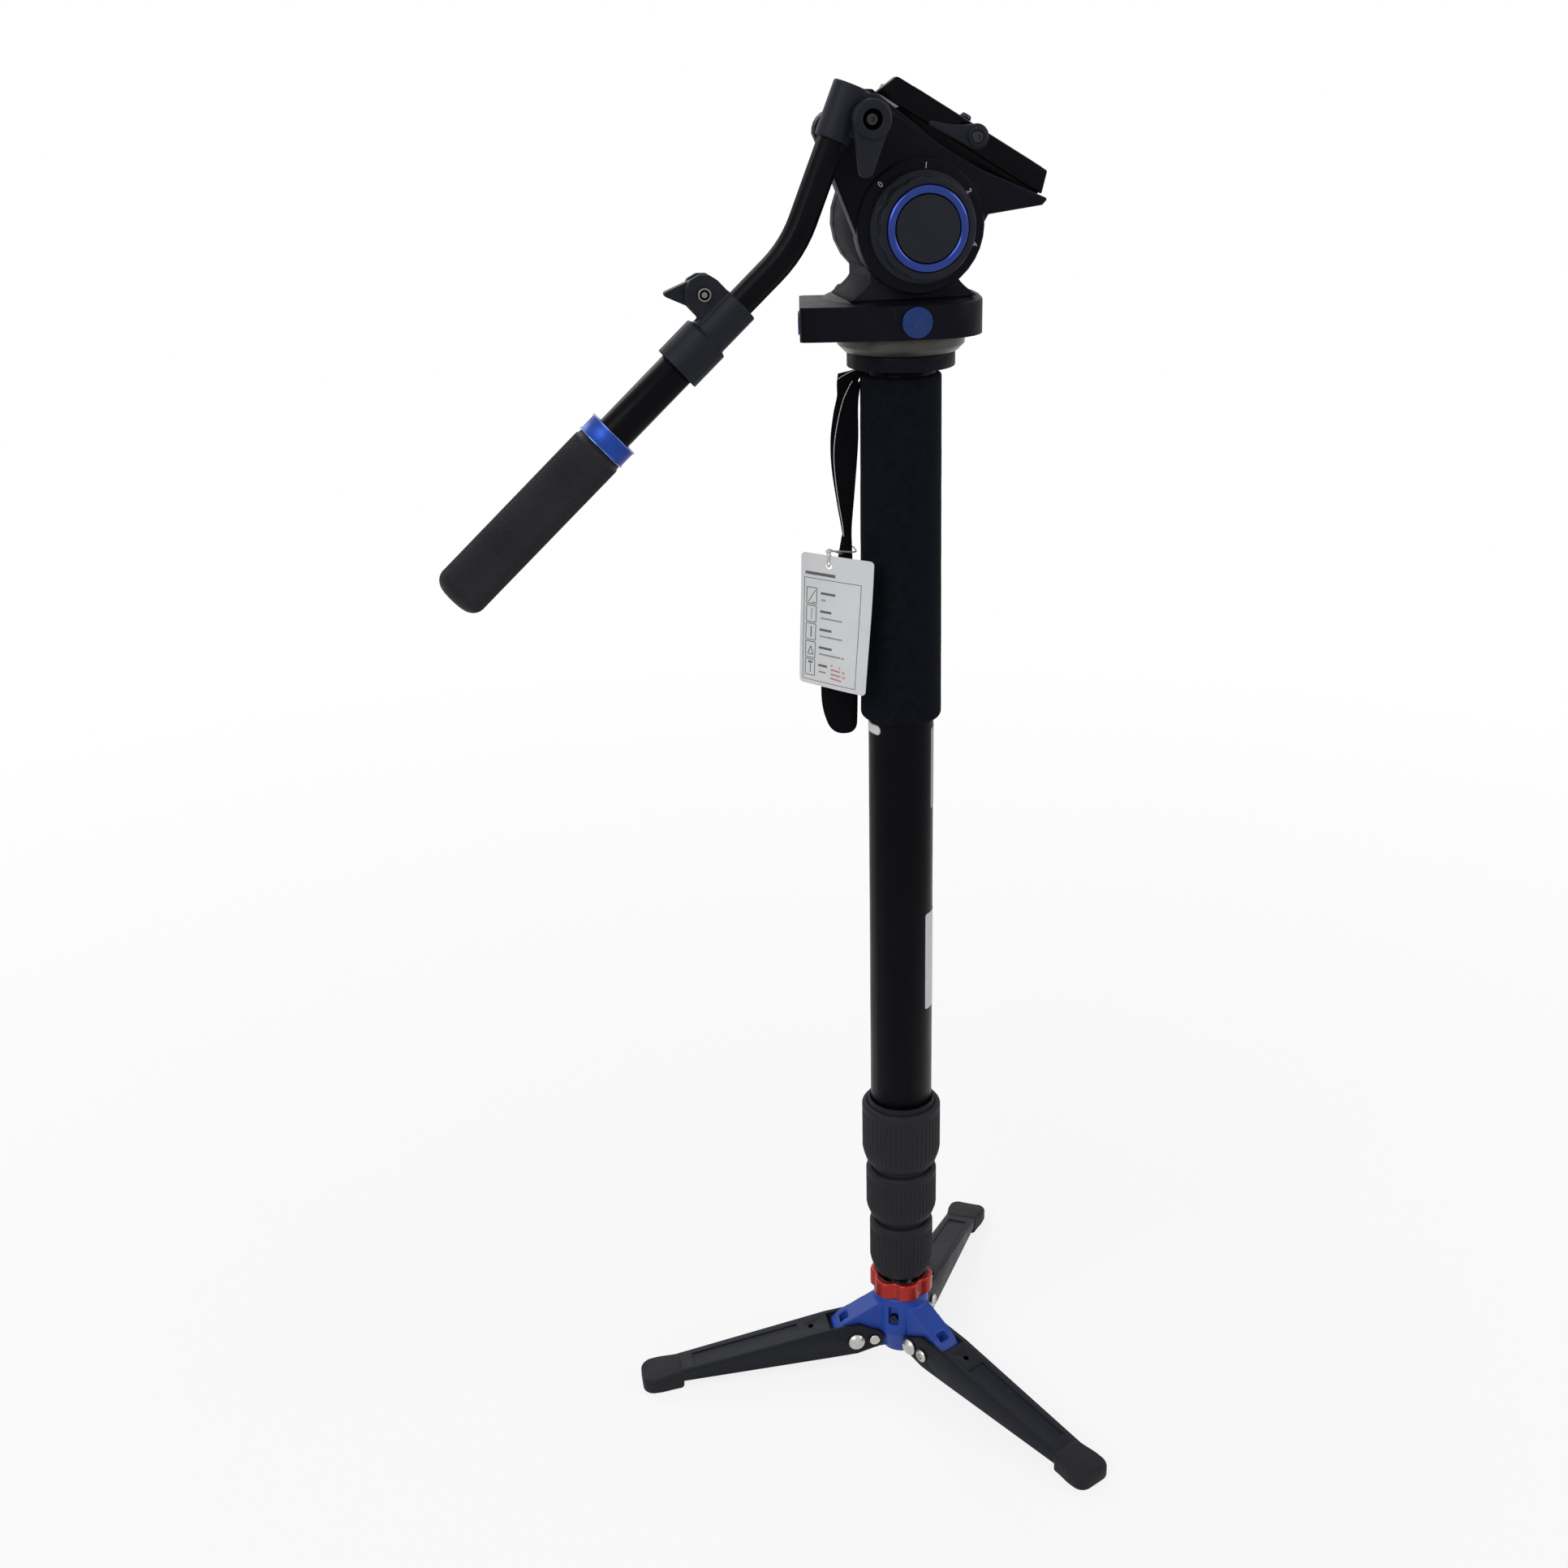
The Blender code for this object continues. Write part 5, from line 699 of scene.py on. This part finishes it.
def make_strap_edge_highlights():
    """Thin pale cords of painted highlight along the webbing's front edge and its fold."""
    front, fold = [], []
    for i in range(61):
        drop = 7.5 + 83.0 * i / 60.0
        front.append((blend_value(FRONT_OUTER, drop), 1.3 + 0.25 * math.sin(drop / 11.0), STRAP_TOP - drop))
    for i in range(25):
        share = i / 24.0
        fold.append((22.0 + 11.2 * share, 0.6, STRAP_TOP - (1.0 + 4.4 * share + 1.2 * share ** 3)))
    # These cords are painted highlight: a pale line where the webbing's edges catch the light.
    for path, radius, name in ((front, 0.26, "strap_edge_highlight"), (fold, 0.24, "strap_fold_highlight")):
        put(tube_along(path, radius), name, "section_1", STRAP, "nylon", look=PALE_PRINT_AND_HIGHLIGHT, smooth=35.0)


def make_hand_pad():
    """The stuffed hand pad at the strap's end, with a seam pressed in beside each edge."""
    work = bmesh.new()
    bmesh.ops.create_uvsphere(work, u_segments=96, v_segments=72, radius=1.0)
    start, end = PAD_INNER[0][0], PAD_INNER[-1][0]
    spots = {}
    for vert in work.verts:
        rise = max(-1.0, min(1.0, vert.co.z))
        ring = math.sqrt(max(0.000001, 1.0 - rise * rise))
        side, face_side = vert.co.x / ring, vert.co.y / ring
        drop = start + (end - start) * (1.0 - rise) / 2.0
        near, far = blend_value(PAD_INNER, drop), blend_value(PAD_OUTER, drop)
        end_share = ramp(drop, end - 7.0, 7.0)
        top_share = ramp(start + 3.0 - drop, 0.0, 3.0)
        close = (1.0 - end_share ** 2.6) ** (1.0 / 2.6) * (1.0 - top_share ** 2.0) ** 0.5
        half = 0.5 * (far - near) * close
        seam = math.exp(-((abs(side) - 0.86) / 0.045) ** 2)
        thick = (1.4 + 1.1 * ramp(drop, 92.0, 40.0)) * close * (1.0 - 0.22 * seam)
        thick *= 1.0 - 0.06 * noise.noise(Vector((drop * 0.11, side * 1.4, 0.0)))
        reach = 0.5 * (near + far) + half * math.copysign(abs(side) ** 0.85, side)
        spots[vert] = (reach * MM, drop * MM)
        vert.co = Vector((reach, thick * math.copysign(abs(face_side) ** 0.75, face_side), STRAP_TOP - drop))
    lay_map(work, spots)
    pad = put(work, "strap_hand_pad", "section_1", STRAP, "black_webbing", ("wrist_strap",), smooth=60.0)


def make_strap():
    """A webbing loop that drops beside the grip, draws in at the waist and ends in a hand pad."""
    make_ribbon("strap_back_webbing", BACK_OUTER, BACK_INNER, -1.6)
    make_ribbon("strap_front_webbing", FRONT_OUTER, FRONT_INNER, 0.9)
    make_strap_edge_highlights()
    make_hand_pad()


# Tag: its face is X across and Y up, from the card's middle
CARD_HALF = 0.2
INK = 0.03
TAG_HOLE = Vector((-4.4, 29.6, 0.0))
TAG_PLACE = (COLUMN @ turned(-16.0) @ shift(-35.6, -23.0, STRAP_TOP - STRAP_WAIST - 43.6)
             @ turned(-26.0) @ SIDEWAYS @ turned(-3.3) @ Matrix.Scale(1.06, 4))
# The cord's way round the strap: reach, depth, rise
WAIST_LOOP = ((25.4, 2.6, 0.0), (24.9, -0.4, 1.0), (26.0, -3.4, 1.4), (29.2, -4.0, 1.2), (32.4, -3.0, 0.6),
              (33.2, 0.2, -0.2), (32.2, 2.8, -0.8))
# Printed strokes: start, end, width
SIGNS = (((-17.2, 24.6), (-0.6, 24.6), 1.6), ((-15.2, 9.2), (-11.4, 15.8), 0.45),
         ((-13.4, 9.2), (-11.2, 9.2), 0.45), ((-13.2, 0.2), (-13.2, 6.0), 0.4),
         ((-13.2, -9.4), (-13.2, -3.6), 0.7), ((-14.8, -18.6), (-11.6, -18.6), 0.5),
         ((-14.8, -18.6), (-13.2, -14.2), 0.5), ((-11.6, -18.6), (-13.2, -14.2), 0.5),
         ((-13.2, -28.6), (-13.2, -23.6), 0.5), ((-14.6, -22.9), (-11.8, -22.9), 1.0))
# Each row of the table: its top, the length of its heading and of its line
TABLE = ((17.0, 8.2, 2.6), (7.4, 6.4, 12.4), (-2.2, 7.0, 12.8), (-11.8, 7.6, 14.4), (-21.4, 5.2, 4.2))
STAMP = ((-22.6, 5.6), (-24.8, 8.2), (-27.2, 8.6), (-29.4, 6.4))


def card_bend(x, y):
    """How far the card's face stands off its plane: it curls away along its right side."""
    right = max(0.0, x / 18.0)
    return -0.0022 * x * y - 1.2 * right ** 2 * (0.6 + 0.4 * math.cos(y / 22.0)) - 0.25 * math.sin(y / 12.0)


def bend_card(work, rise=0.0):
    """Bends a flat shape as the card is bent."""
    for vert in work.verts:
        vert.co.z += card_bend(vert.co.x, vert.co.y) + rise
    return work


def stroke(work, start, end, width):
    """A printed line, as a film on the card's face."""
    start, end = Vector(start), Vector(end)
    along = end - start
    pieces = max(1, int(along.length / 3.0))
    grown = bmesh.ops.create_grid(work, x_segments=pieces, y_segments=1, size=0.5)["verts"]
    slant = math.atan2(along.y, along.x)
    place = Matrix.Translation((*(start + end) / 2.0, 0.0)) @ Matrix.Rotation(slant, 4, "Z")
    bmesh.ops.transform(work, verts=grown, matrix=place @ Matrix.Diagonal((along.length, width, 1.0, 1.0)))


def box_lines(work, x0, x1, y0, y1, width):
    """Four printed lines round a box."""
    corners = ((x0, y0), (x1, y0), (x1, y1), (x0, y1), (x0, y0))
    for start, end in zip(corners, corners[1:]):
        stroke(work, start, end, width)


def film(work, name, look, slot):
    """Gives printed lines their thickness and lays them on the card."""
    bmesh.ops.recalc_face_normals(work, faces=work.faces)
    bend_card(work, CARD_HALF + 0.01)
    bmesh.ops.solidify(work, geom=work.faces[:], thickness=INK)
    put(work, name, "section_1", TAG_PLACE, slot, look=look, smooth=35.0)


def make_tag():
    """A coated card with a generic printed table, hung on a loop of thin cord."""
    work = slab(rounded(19.6, 35.0, 2.2), -CARD_HALF, CARD_HALF)
    work = carve(work, slab(circle(1.8, 32, TAG_HOLE[:2]), -1.0, 1.0))
    cut_rows(work, 2.2, 8)
    cut_rows(work, 3.4, 10, 1)
    put(bend_card(work), "tag_card", "section_1", TAG_PLACE, "white_card", ("hang_tag",))

    lines, faint, stamp = bmesh.new(), bmesh.new(), bmesh.new()
    box_lines(lines, -17.6, 13.6, -32.6, 22.0, 0.36)
    for top, heading, line in TABLE:
        box_lines(lines, -16.2, -10.6, top - 8.6, top, 0.45)
        stroke(lines, (-8.4, top - 2.3), (-8.4 + heading, top - 2.3), 1.25)
        stroke(faint, (-8.0, top - 5.8), (-8.0 + line, top - 5.8), 0.9)
    for start, end, width in SIGNS:
        stroke(lines, start, end, width)
    for y, length in STAMP:
        stroke(stamp, (-1.0, y), (-1.0 + length, y - 0.5), 0.9)
    film(lines, "tag_print", DARK_PRINT, "black_plastic")
    film(faint, "tag_faint_print", FAINT_PRINT, "black_plastic")
    film(stamp, "tag_stamp", RED_INK, "anodised_red")
    make_tag_loop()


def make_tag_loop():
    """Thin cord from a knot above the card, through its hole and round the strap's waist."""
    front = TAG_PLACE.to_3x3() @ Vector((0.0, 0.0, MM))
    up = TAG_PLACE.to_3x3() @ Vector((0.0, MM, 0.0))
    hole = TAG_PLACE @ ((TAG_HOLE + Vector((0.0, 0.0, card_bend(TAG_HOLE.x, TAG_HOLE.y)))) * MM)
    knot = hole + front * 2.0 + up * 7.4
    points = [knot] + [hole + front * forward + up * rise for forward, rise in
                       ((2.2, 3.0), (1.0, 0.0), (-1.2, 0.2), (-2.4, 3.4), (-2.2, 7.0))]
    points += [STRAP @ (Vector((reach, depth, STRAP_TOP - 99.0 + rise)) * MM) for reach, depth, rise in WAIST_LOOP]
    path = smooth_path(points + [knot + up * 1.5 - front])
    loop = put(tube_along([point / MM for point in path], 0.42), "tag_cord", "section_1", PACKED, "nylon",
               ("tag_loop",), smooth=60.0)
    ball = bmesh.new()
    bmesh.ops.create_uvsphere(ball, u_segments=24, v_segments=16, radius=1.15)
    knot_piece = put(ball, "tag_knot", "section_1", Matrix.Translation(knot + up * 0.6), "nylon", smooth=60.0)


# Base
def make_lock_ring():
    """The red ring that frees the ball: six soft lobes, its upper edge well rounded."""
    low, high, outer, bore, lip = 50.3, 61.5, 19.4, 15.2, 11.3
    profile = [(bore, high - 0.6), (bore + 0.6, high)] + arc((outer - 1.5, high - 1.5), 1.5, 90.0, 0.0, 8)
    profile += [(outer, low + 5.0)] + arc((outer - 1.2, low + 1.2), 1.2, 0.0, -90.0, 6)
    profile += [(lip, low), (lip, low + 2.0), (bore, low + 2.0)]
    work = scallop(lathe(profile, 240), 6, 3.0, 2.4, bore + 1.2)
    put(work, "lock_ring_lobed", "tilt_lock_ring", COLUMN, "anodised_red", ("lock_ring",), smooth=50.0)


LEGS = (("leg_a", 57.0), ("leg_b", 177.0), ("leg_c", 297.0))
FOOT_TOP = ((139.6, 12.9), (146.0, 11.9), (153.0, 10.8), (160.0, 9.7), (165.0, 8.8))


def make_feet():
    """Rubber boots that flare to a wide soft toe."""
    for number, (body, azimuth) in enumerate(LEGS, 1):
        side = [(139.6, -10.3), (143.0, -10.5), (147.0, -11.1), (151.0, -11.9), (154.0, -12.3)]
        side += arc((158.2, -5.6), 6.8, -90.0, 0.0, 8)
        work = slab(side + [(x, -y) for x, y in reversed(side)], 0.0, 1.0)
        for vert in work.verts:
            if vert.co.z > 0.5:
                vert.co.z = blend_value(FOOT_TOP, vert.co.x)
        soften(work, 2.3, 5, 50.0)
        node = "foot_%d" % number
        put(work, node + "_boot", body, COLUMN @ turned(azimuth), "black_rubber", (node,), smooth=60.0)


def make_hub():
    """The blue hub, eased as a die casting is."""
    put(cast("hub", 0.5, 7), "hub_casting", "base_hub", PACKED, "casting_blue", ("hub",), smooth=70.0)


def make_leg_hole_shades():
    """A disc of painted shade at the drain hole near each leg's root."""
    for number, (body, azimuth) in enumerate(LEGS, 1):
        place = COLUMN @ turned(azimuth) @ shift(58.0, 0.0, 27.45) @ turned(10.4, "Y")
        work = lathe([(0.0, -1.0), (1.7, -1.0), (1.7, 0.05), (0.0, 0.05)], 40, closed=False)
        put(work, "leg_hole_%d" % number, body, place, "black_plastic", look=PAINTED_SHADE_BLACK)


# Head base: name, azimuth, distance, sideways, radius
BADGES = (("pan_badge_front", -94.0, 40.6, 0.0, 7.8), ("pan_badge_side", 167.0, 52.6, 32.0, 6.0))


def make_badges():
    """Glossy domed inserts in thin rims, left bare."""
    for name, azimuth, distance, sideways, radius in BADGES:
        place = COLUMN @ turned(azimuth) @ shift(distance, sideways, 647.9) @ OUTWARD
        profile = [(0.0, -1.9), (radius, -1.9), (radius, 0.45)] + arc((radius - 0.35, 0.45), 0.35, 0.0, 90.0, 4)
        profile += [(radius - 0.8, 0.72)]
        for i in range(1, 13):
            share = i / 12.0
            profile.append(((radius - 0.8) * (1.0 - share), 0.55 + 0.4 * math.sin(0.5 * math.pi * share)))
        work = lathe(profile, 72, closed=False)
        put(work, name + "_dome", "pan_unit", place, "anodised_blue", (name,), BADGE_BLUE)


# Tilting head
def make_dial():
    """The balance dial: lugged knob on its skirt, glossy ring, plain cap."""
    seat, face = 37.8, 49.2
    profile = [(0.0, seat), (26.6, seat), (27.0, seat + 0.4), (27.0, seat + 3.2)]
    profile += arc((26.2, seat + 3.2), 0.8, 0.0, 90.0, 4)
    profile += [(25.0, seat + 4.3), (24.6, seat + 4.8), (24.6, seat + 6.5), (24.6, face - 1.6)]
    profile += arc((23.2, face - 1.4), 1.4, 0.0, 90.0, 6)
    profile += [(21.3, face), (21.0, face - 0.3), (21.0, face - 2.0), (0.0, face - 2.0)]
    work = lathe(profile, 288, closed=False)
    scallop(work, 12, 1.2, 3.0, 22.0,
            lambda height: ramp(height, seat + 4.35, 0.4) * ramp(face - height, 0.2, 0.8))
    put(work, "dial_knob", "dial", FACE, "black_plastic", ("balance_dial",))
    profile = [(16.3, face - 1.6), (20.9, face - 1.6)]
    for i in range(19):
        angle = 180.0 * DEG * i / 18.0
        profile.append((18.6 + 2.3 * math.cos(angle), face - 0.8 + 1.8 * math.sin(angle)))
    put(lathe(profile, 144), "dial_bright_ring", "dial", FACE, "anodised_blue", ("dial_ring",), RING_BLUE, 50.0)
    cap = face + 0.7
    profile = [(0.0, face - 1.6), (16.2, face - 1.6), (16.2, cap - 0.5)]
    profile += arc((15.7, cap - 0.5), 0.5, 0.0, 90.0, 4) + [(0.0, cap)]
    put(lathe(profile, 96, closed=False), "dial_face_cap", "dial", FACE, "black_plastic", ("dial_cap",),
        DIAL_FACE)


def make_numbers():
    """The dial's steps, printed on the cheek's boss, each upright to the dial's middle."""
    for text, angle, reach in (("0", 166.2, 29.4), ("1", 116.6, 28.9), ("2", 64.4, 28.8), ("4", 12.1, 28.9)):
        curve = bpy.data.curves.new("number", "FONT")
        curve.body = text
        curve.size = 4.1
        curve.align_x = "CENTER"
        curve.align_y = "CENTER"
        curve.extrude = 0.03
        curve.offset = 0.03
        place = FACE @ turned(angle) @ shift(reach, 0.0, 37.53) @ turned(-90.0)
        put(settle(hold(curve)), "dial_number_" + text, "tilt_head", place, "white_card", look=PALE_PRINT_AND_HIGHLIGHT,
            smooth=30.0)


def make_wing():
    """The wing on the handle's joint, with its screw in a recess lined with painted shade."""
    place, seat = HANDLE @ SIDEWAYS, 58.1
    tail = soften(slab(teardrop(9.2, 3.8, 23.0, -74.7), seat, seat + 4.2), 1.5, 4, 50.0)
    tail = carve(tail, slab(circle(6.6), seat + 1.0, seat + 7.0))
    put(tail, "wing_tail", "wing", place, "black_plastic", ("wing_lever",), smooth=45.0)
    hub = lathe([(0.0, seat), (9.3, seat)] + arc((8.1, seat + 4.2), 1.2, 0.0, 90.0, 6)
                + arc((5.5, seat + 4.7), 0.7, 90.0, 180.0, 4) + [(4.8, seat + 2.6), (0.0, seat + 2.6)], 96,
                closed=False)
    put(hub, "wing_hub", "wing", place, "black_plastic")
    # A near-black cup of painted shade lines the recess.
    recess = lathe([(0.0, 0.0), (4.75, 0.0), (4.75, 1.5), (4.6, 1.5), (4.5, 0.2), (0.0, 0.2)], 64, closed=False)
    put(recess, "wing_recess_shade", "wing", place @ shift(0.0, 0.0, seat + 2.61), "black_plastic", look=PAINTED_SHADE_BLACK)
    put(socket_screw(2.8, 1.3, 1.3, 1.1), "wing_screw", "wing", place @ shift(0.0, 0.0, seat + 2.62), "steel",
        look=DARK_STEEL)


def make_leaf():
    """The leaf that locks the camera plate, with its boss and screw."""
    place, seat = FACE @ shift(4.0, 50.3, 0.0), 30.3
    leaf = soften(slab(teardrop(6.3, 1.6, 24.0, 194.4, -1.3), seat, seat + 3.9), 1.3, 4, 50.0)
    put(leaf, "plate_leaf", "plate_lock", place, "black_plastic", ("plate_lever",), smooth=45.0)
    boss = lathe([(0.0, seat), (5.0, seat)] + arc((4.2, seat + 4.3), 0.7, 0.0, 90.0, 5)
                 + arc((3.5, seat + 4.6), 0.4, 90.0, 180.0, 3) + [(3.1, seat + 4.1), (0.0, seat + 4.1)], 72,
                 closed=False)
    put(boss, "plate_leaf_boss", "plate_lock", place, "black_plastic")
    put(socket_screw(2.9, 0.8, 1.4, 0.7), "plate_leaf_screw", "plate_lock", place @ shift(0.0, 0.0, seat + 4.12),
        "steel", look=DARK_STEEL)


def make_camera_screw():
    """The camera screw with its thread, and the rubber strips that the camera sits on."""
    tip, root, crest, under, pitch = 61.0, 2.55, 3.1, 49.4, 1.27
    profile = [(0.0, under - 2.0), (6.6, under - 2.0), (7.0, under - 1.6), (7.0, under), (crest, under),
               (crest, under + 1.0)]
    for i in range(int((tip - under - 1.6) / pitch)):
        base = under + 1.0 + pitch * i
        profile += [(root, base + 0.45 * pitch), (root, base + 0.55 * pitch), (crest, base + 0.94 * pitch),
                    (crest, base + pitch)]
    profile += [(root, tip - 0.2), (root - 0.4, tip), (0.0, tip)]
    put(lathe(profile, 48, closed=False), "camera_screw_threaded", "plate_screw", HEAD @ shift(4.0, 0.0, 0.0),
        "steel", ("camera_screw",), DARK_STEEL, 35.0)
    for number, side in ((1, -1.0), (2, 1.0)):
        work = slab(rounded(36.5, 6.5, 2.0, (5.5, 14.0 * side)), 55.98, 56.35)
        soften(work, 0.15, 2, 60.0)
        put(work, "plate_rubber_%d" % number, "sliding_plate", HEAD, "black_rubber")


# Pan handle
def make_handle():
    """Clamp castings, bright ring with its rims, pin head, and the knurled grip."""
    put(cast("handle_clamp", 0.42, 10), "handle_clamp_casting", "pan_handle", PACKED, "black_casting",
        ("handle_clamp",), FINISHES["black_plastic"], 70.0)
    put(cast("extension_clamp", 0.42, 8), "extension_clamp_casting", "handle_extension", PACKED, "black_plastic",
        ("extension_clamp",), smooth=70.0)
    low, high, outer, bore = -133.3, -123.5, 13.9, 9.6
    profile = [(bore, low), (outer - 0.5, low), (outer - 0.45, low + 1.0), (outer - 0.6, low + 1.2),
               (outer - 0.6, high - 1.6), (outer - 0.5, high - 1.4), (outer - 0.5, high - 0.2),
               (bore + 0.3, high - 0.2), (bore, high - 0.5)]
    put(lathe(profile, 120), "grip_ring_band", "handle_extension", EXTENSION, "anodised_blue", ("grip_ring",),
        BAND_BLUE)
    for number, start, end in ((1, low, low + 0.7), (2, high - 0.7, high)):
        rim = [(bore + 1.0, start), (outer - 0.25, start), (outer, start + 0.25), (outer, end - 0.25),
               (outer - 0.25, end), (bore + 1.0, end)]
        put(lathe(rim, 120), "grip_ring_rim_%d" % number, "handle_extension", EXTENSION, "steel", look=BRIGHT_RIM)
    make_knurled_grip()
    pin = EXTENSION @ shift(-16.7, -6.63, -46.1) @ SIDEWAYS
    head = lathe([(0.0, 0.0), (3.3, 0.0)] + arc((2.95, 0.65), 0.35, 0.0, 90.0, 4)
                 + [(2.5, 0.95), (2.35, 0.3), (1.55, 0.3), (1.4, 0.65), (0.0, 0.7)], 48, closed=False)
    put(head, "clamp_pin_head", "handle_extension", pin, "steel", look=DULL_STEEL)
    # A near-black ring of painted shade fills the pin head's groove.
    groove = lathe([(1.5, 0.28), (2.4, 0.28), (2.4, 0.45), (1.5, 0.45)], 48)
    put(groove, "clamp_pin_groove_shade", "handle_extension", pin, "black_plastic", look=PAINTED_SHADE_BLACK)


def make_knurled_grip():
    """The grip's rubber, with crossed spiral grooves between a plain collar and a round end."""
    top, end, outer, bore, round_end = -133.6, -237.4, 13.5, 9.6, 7.0
    profile = [(bore, top), (outer - 0.9, top), (outer - 0.6, top - 0.3), (outer - 0.6, top - 1.6),
               (outer, top - 2.2)]
    rows = 132
    start, stop = top - 2.6, end + round_end
    for row in range(rows + 1):
        profile.append((outer, start + (stop - start) * row / rows))
    profile += arc((outer - round_end, stop), round_end, -4.0, -90.0, 14)
    profile += [(0.0, end), (0.0, end + 7.0), (bore, end + 7.0)]
    work = lathe(profile, 4 * KNURL_STARTS)
    for vert in work.verts:
        if math.hypot(vert.co.x, vert.co.y) < outer - 2.3 or vert.co.z > start:
            continue
        around, along = KNURL_STARTS * math.atan2(vert.co.y, vert.co.x), TURN / KNURL_PITCH * vert.co.z
        relief = min(math.sin(around + along), math.sin(around - along))
        edge = ramp(start - vert.co.z, 0.0, 1.0) * ramp(vert.co.z, end + 2.0, 3.0)
        push_out(vert, 0.22 * (max(-0.6, relief) - 0.3) * edge)
    put(work, "handle_grip_knurled", "handle_extension", EXTENSION, "black_rubber", ("handle_grip",), KNURLED,
        50.0)


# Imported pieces: the edges of the castings are rounded more than the rest
SLOT_OF = {part["node"]: part["material_slot"] for part in frame["record"]["subparts"]}
FINISH_OF = {"ball": DARK_STEEL, "set_screw": DARK_STEEL, "platform": GLOSS_BLACK, "camera_plate": GLOSS_BLACK,
             "tilt_drum": DRUM_BLACK}
EDGE_OF = {"near_cheek": 0.5, "far_cheek": 0.5, "platform": 0.5, "camera_plate": 0.4, "pan_housing": 0.4,
           "top_disc": 0.4, "base_plate": 0.3, "leg_1": 0.5, "leg_2": 0.5, "leg_3": 0.5}
PLAIN_EDGE = 0.25


def dress_packed():
    """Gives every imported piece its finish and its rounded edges."""
    for name, piece in nodes.items():
        piece.data.materials.clear()
        piece.data.materials.append(FINISH_OF.get(name, FINISHES[SLOT_OF[name]]))
        piece.data.shade_smooth()
        weld = piece.modifiers.new("weld", "WELD")
        weld.merge_threshold = 0.000005
        edge = piece.modifiers.new("edges", "BEVEL")
        edge.width = EDGE_OF.get(name, PLAIN_EDGE) * MM
        edge.segments = 2
        edge.limit_method = "ANGLE"
        edge.angle_limit = 28.0 * DEG
        edge.harden_normals = True


set_camera()
make_tag()
set_world()
set_floor()
set_lamps()
dress_packed()
make_collars()
make_foam()
make_labels()
make_strap()
make_lock_ring()
make_feet()
make_hub()
make_leg_hole_shades()
make_badges()
make_dial()
make_numbers()
make_wing()
make_leaf()
make_camera_screw()
make_handle()
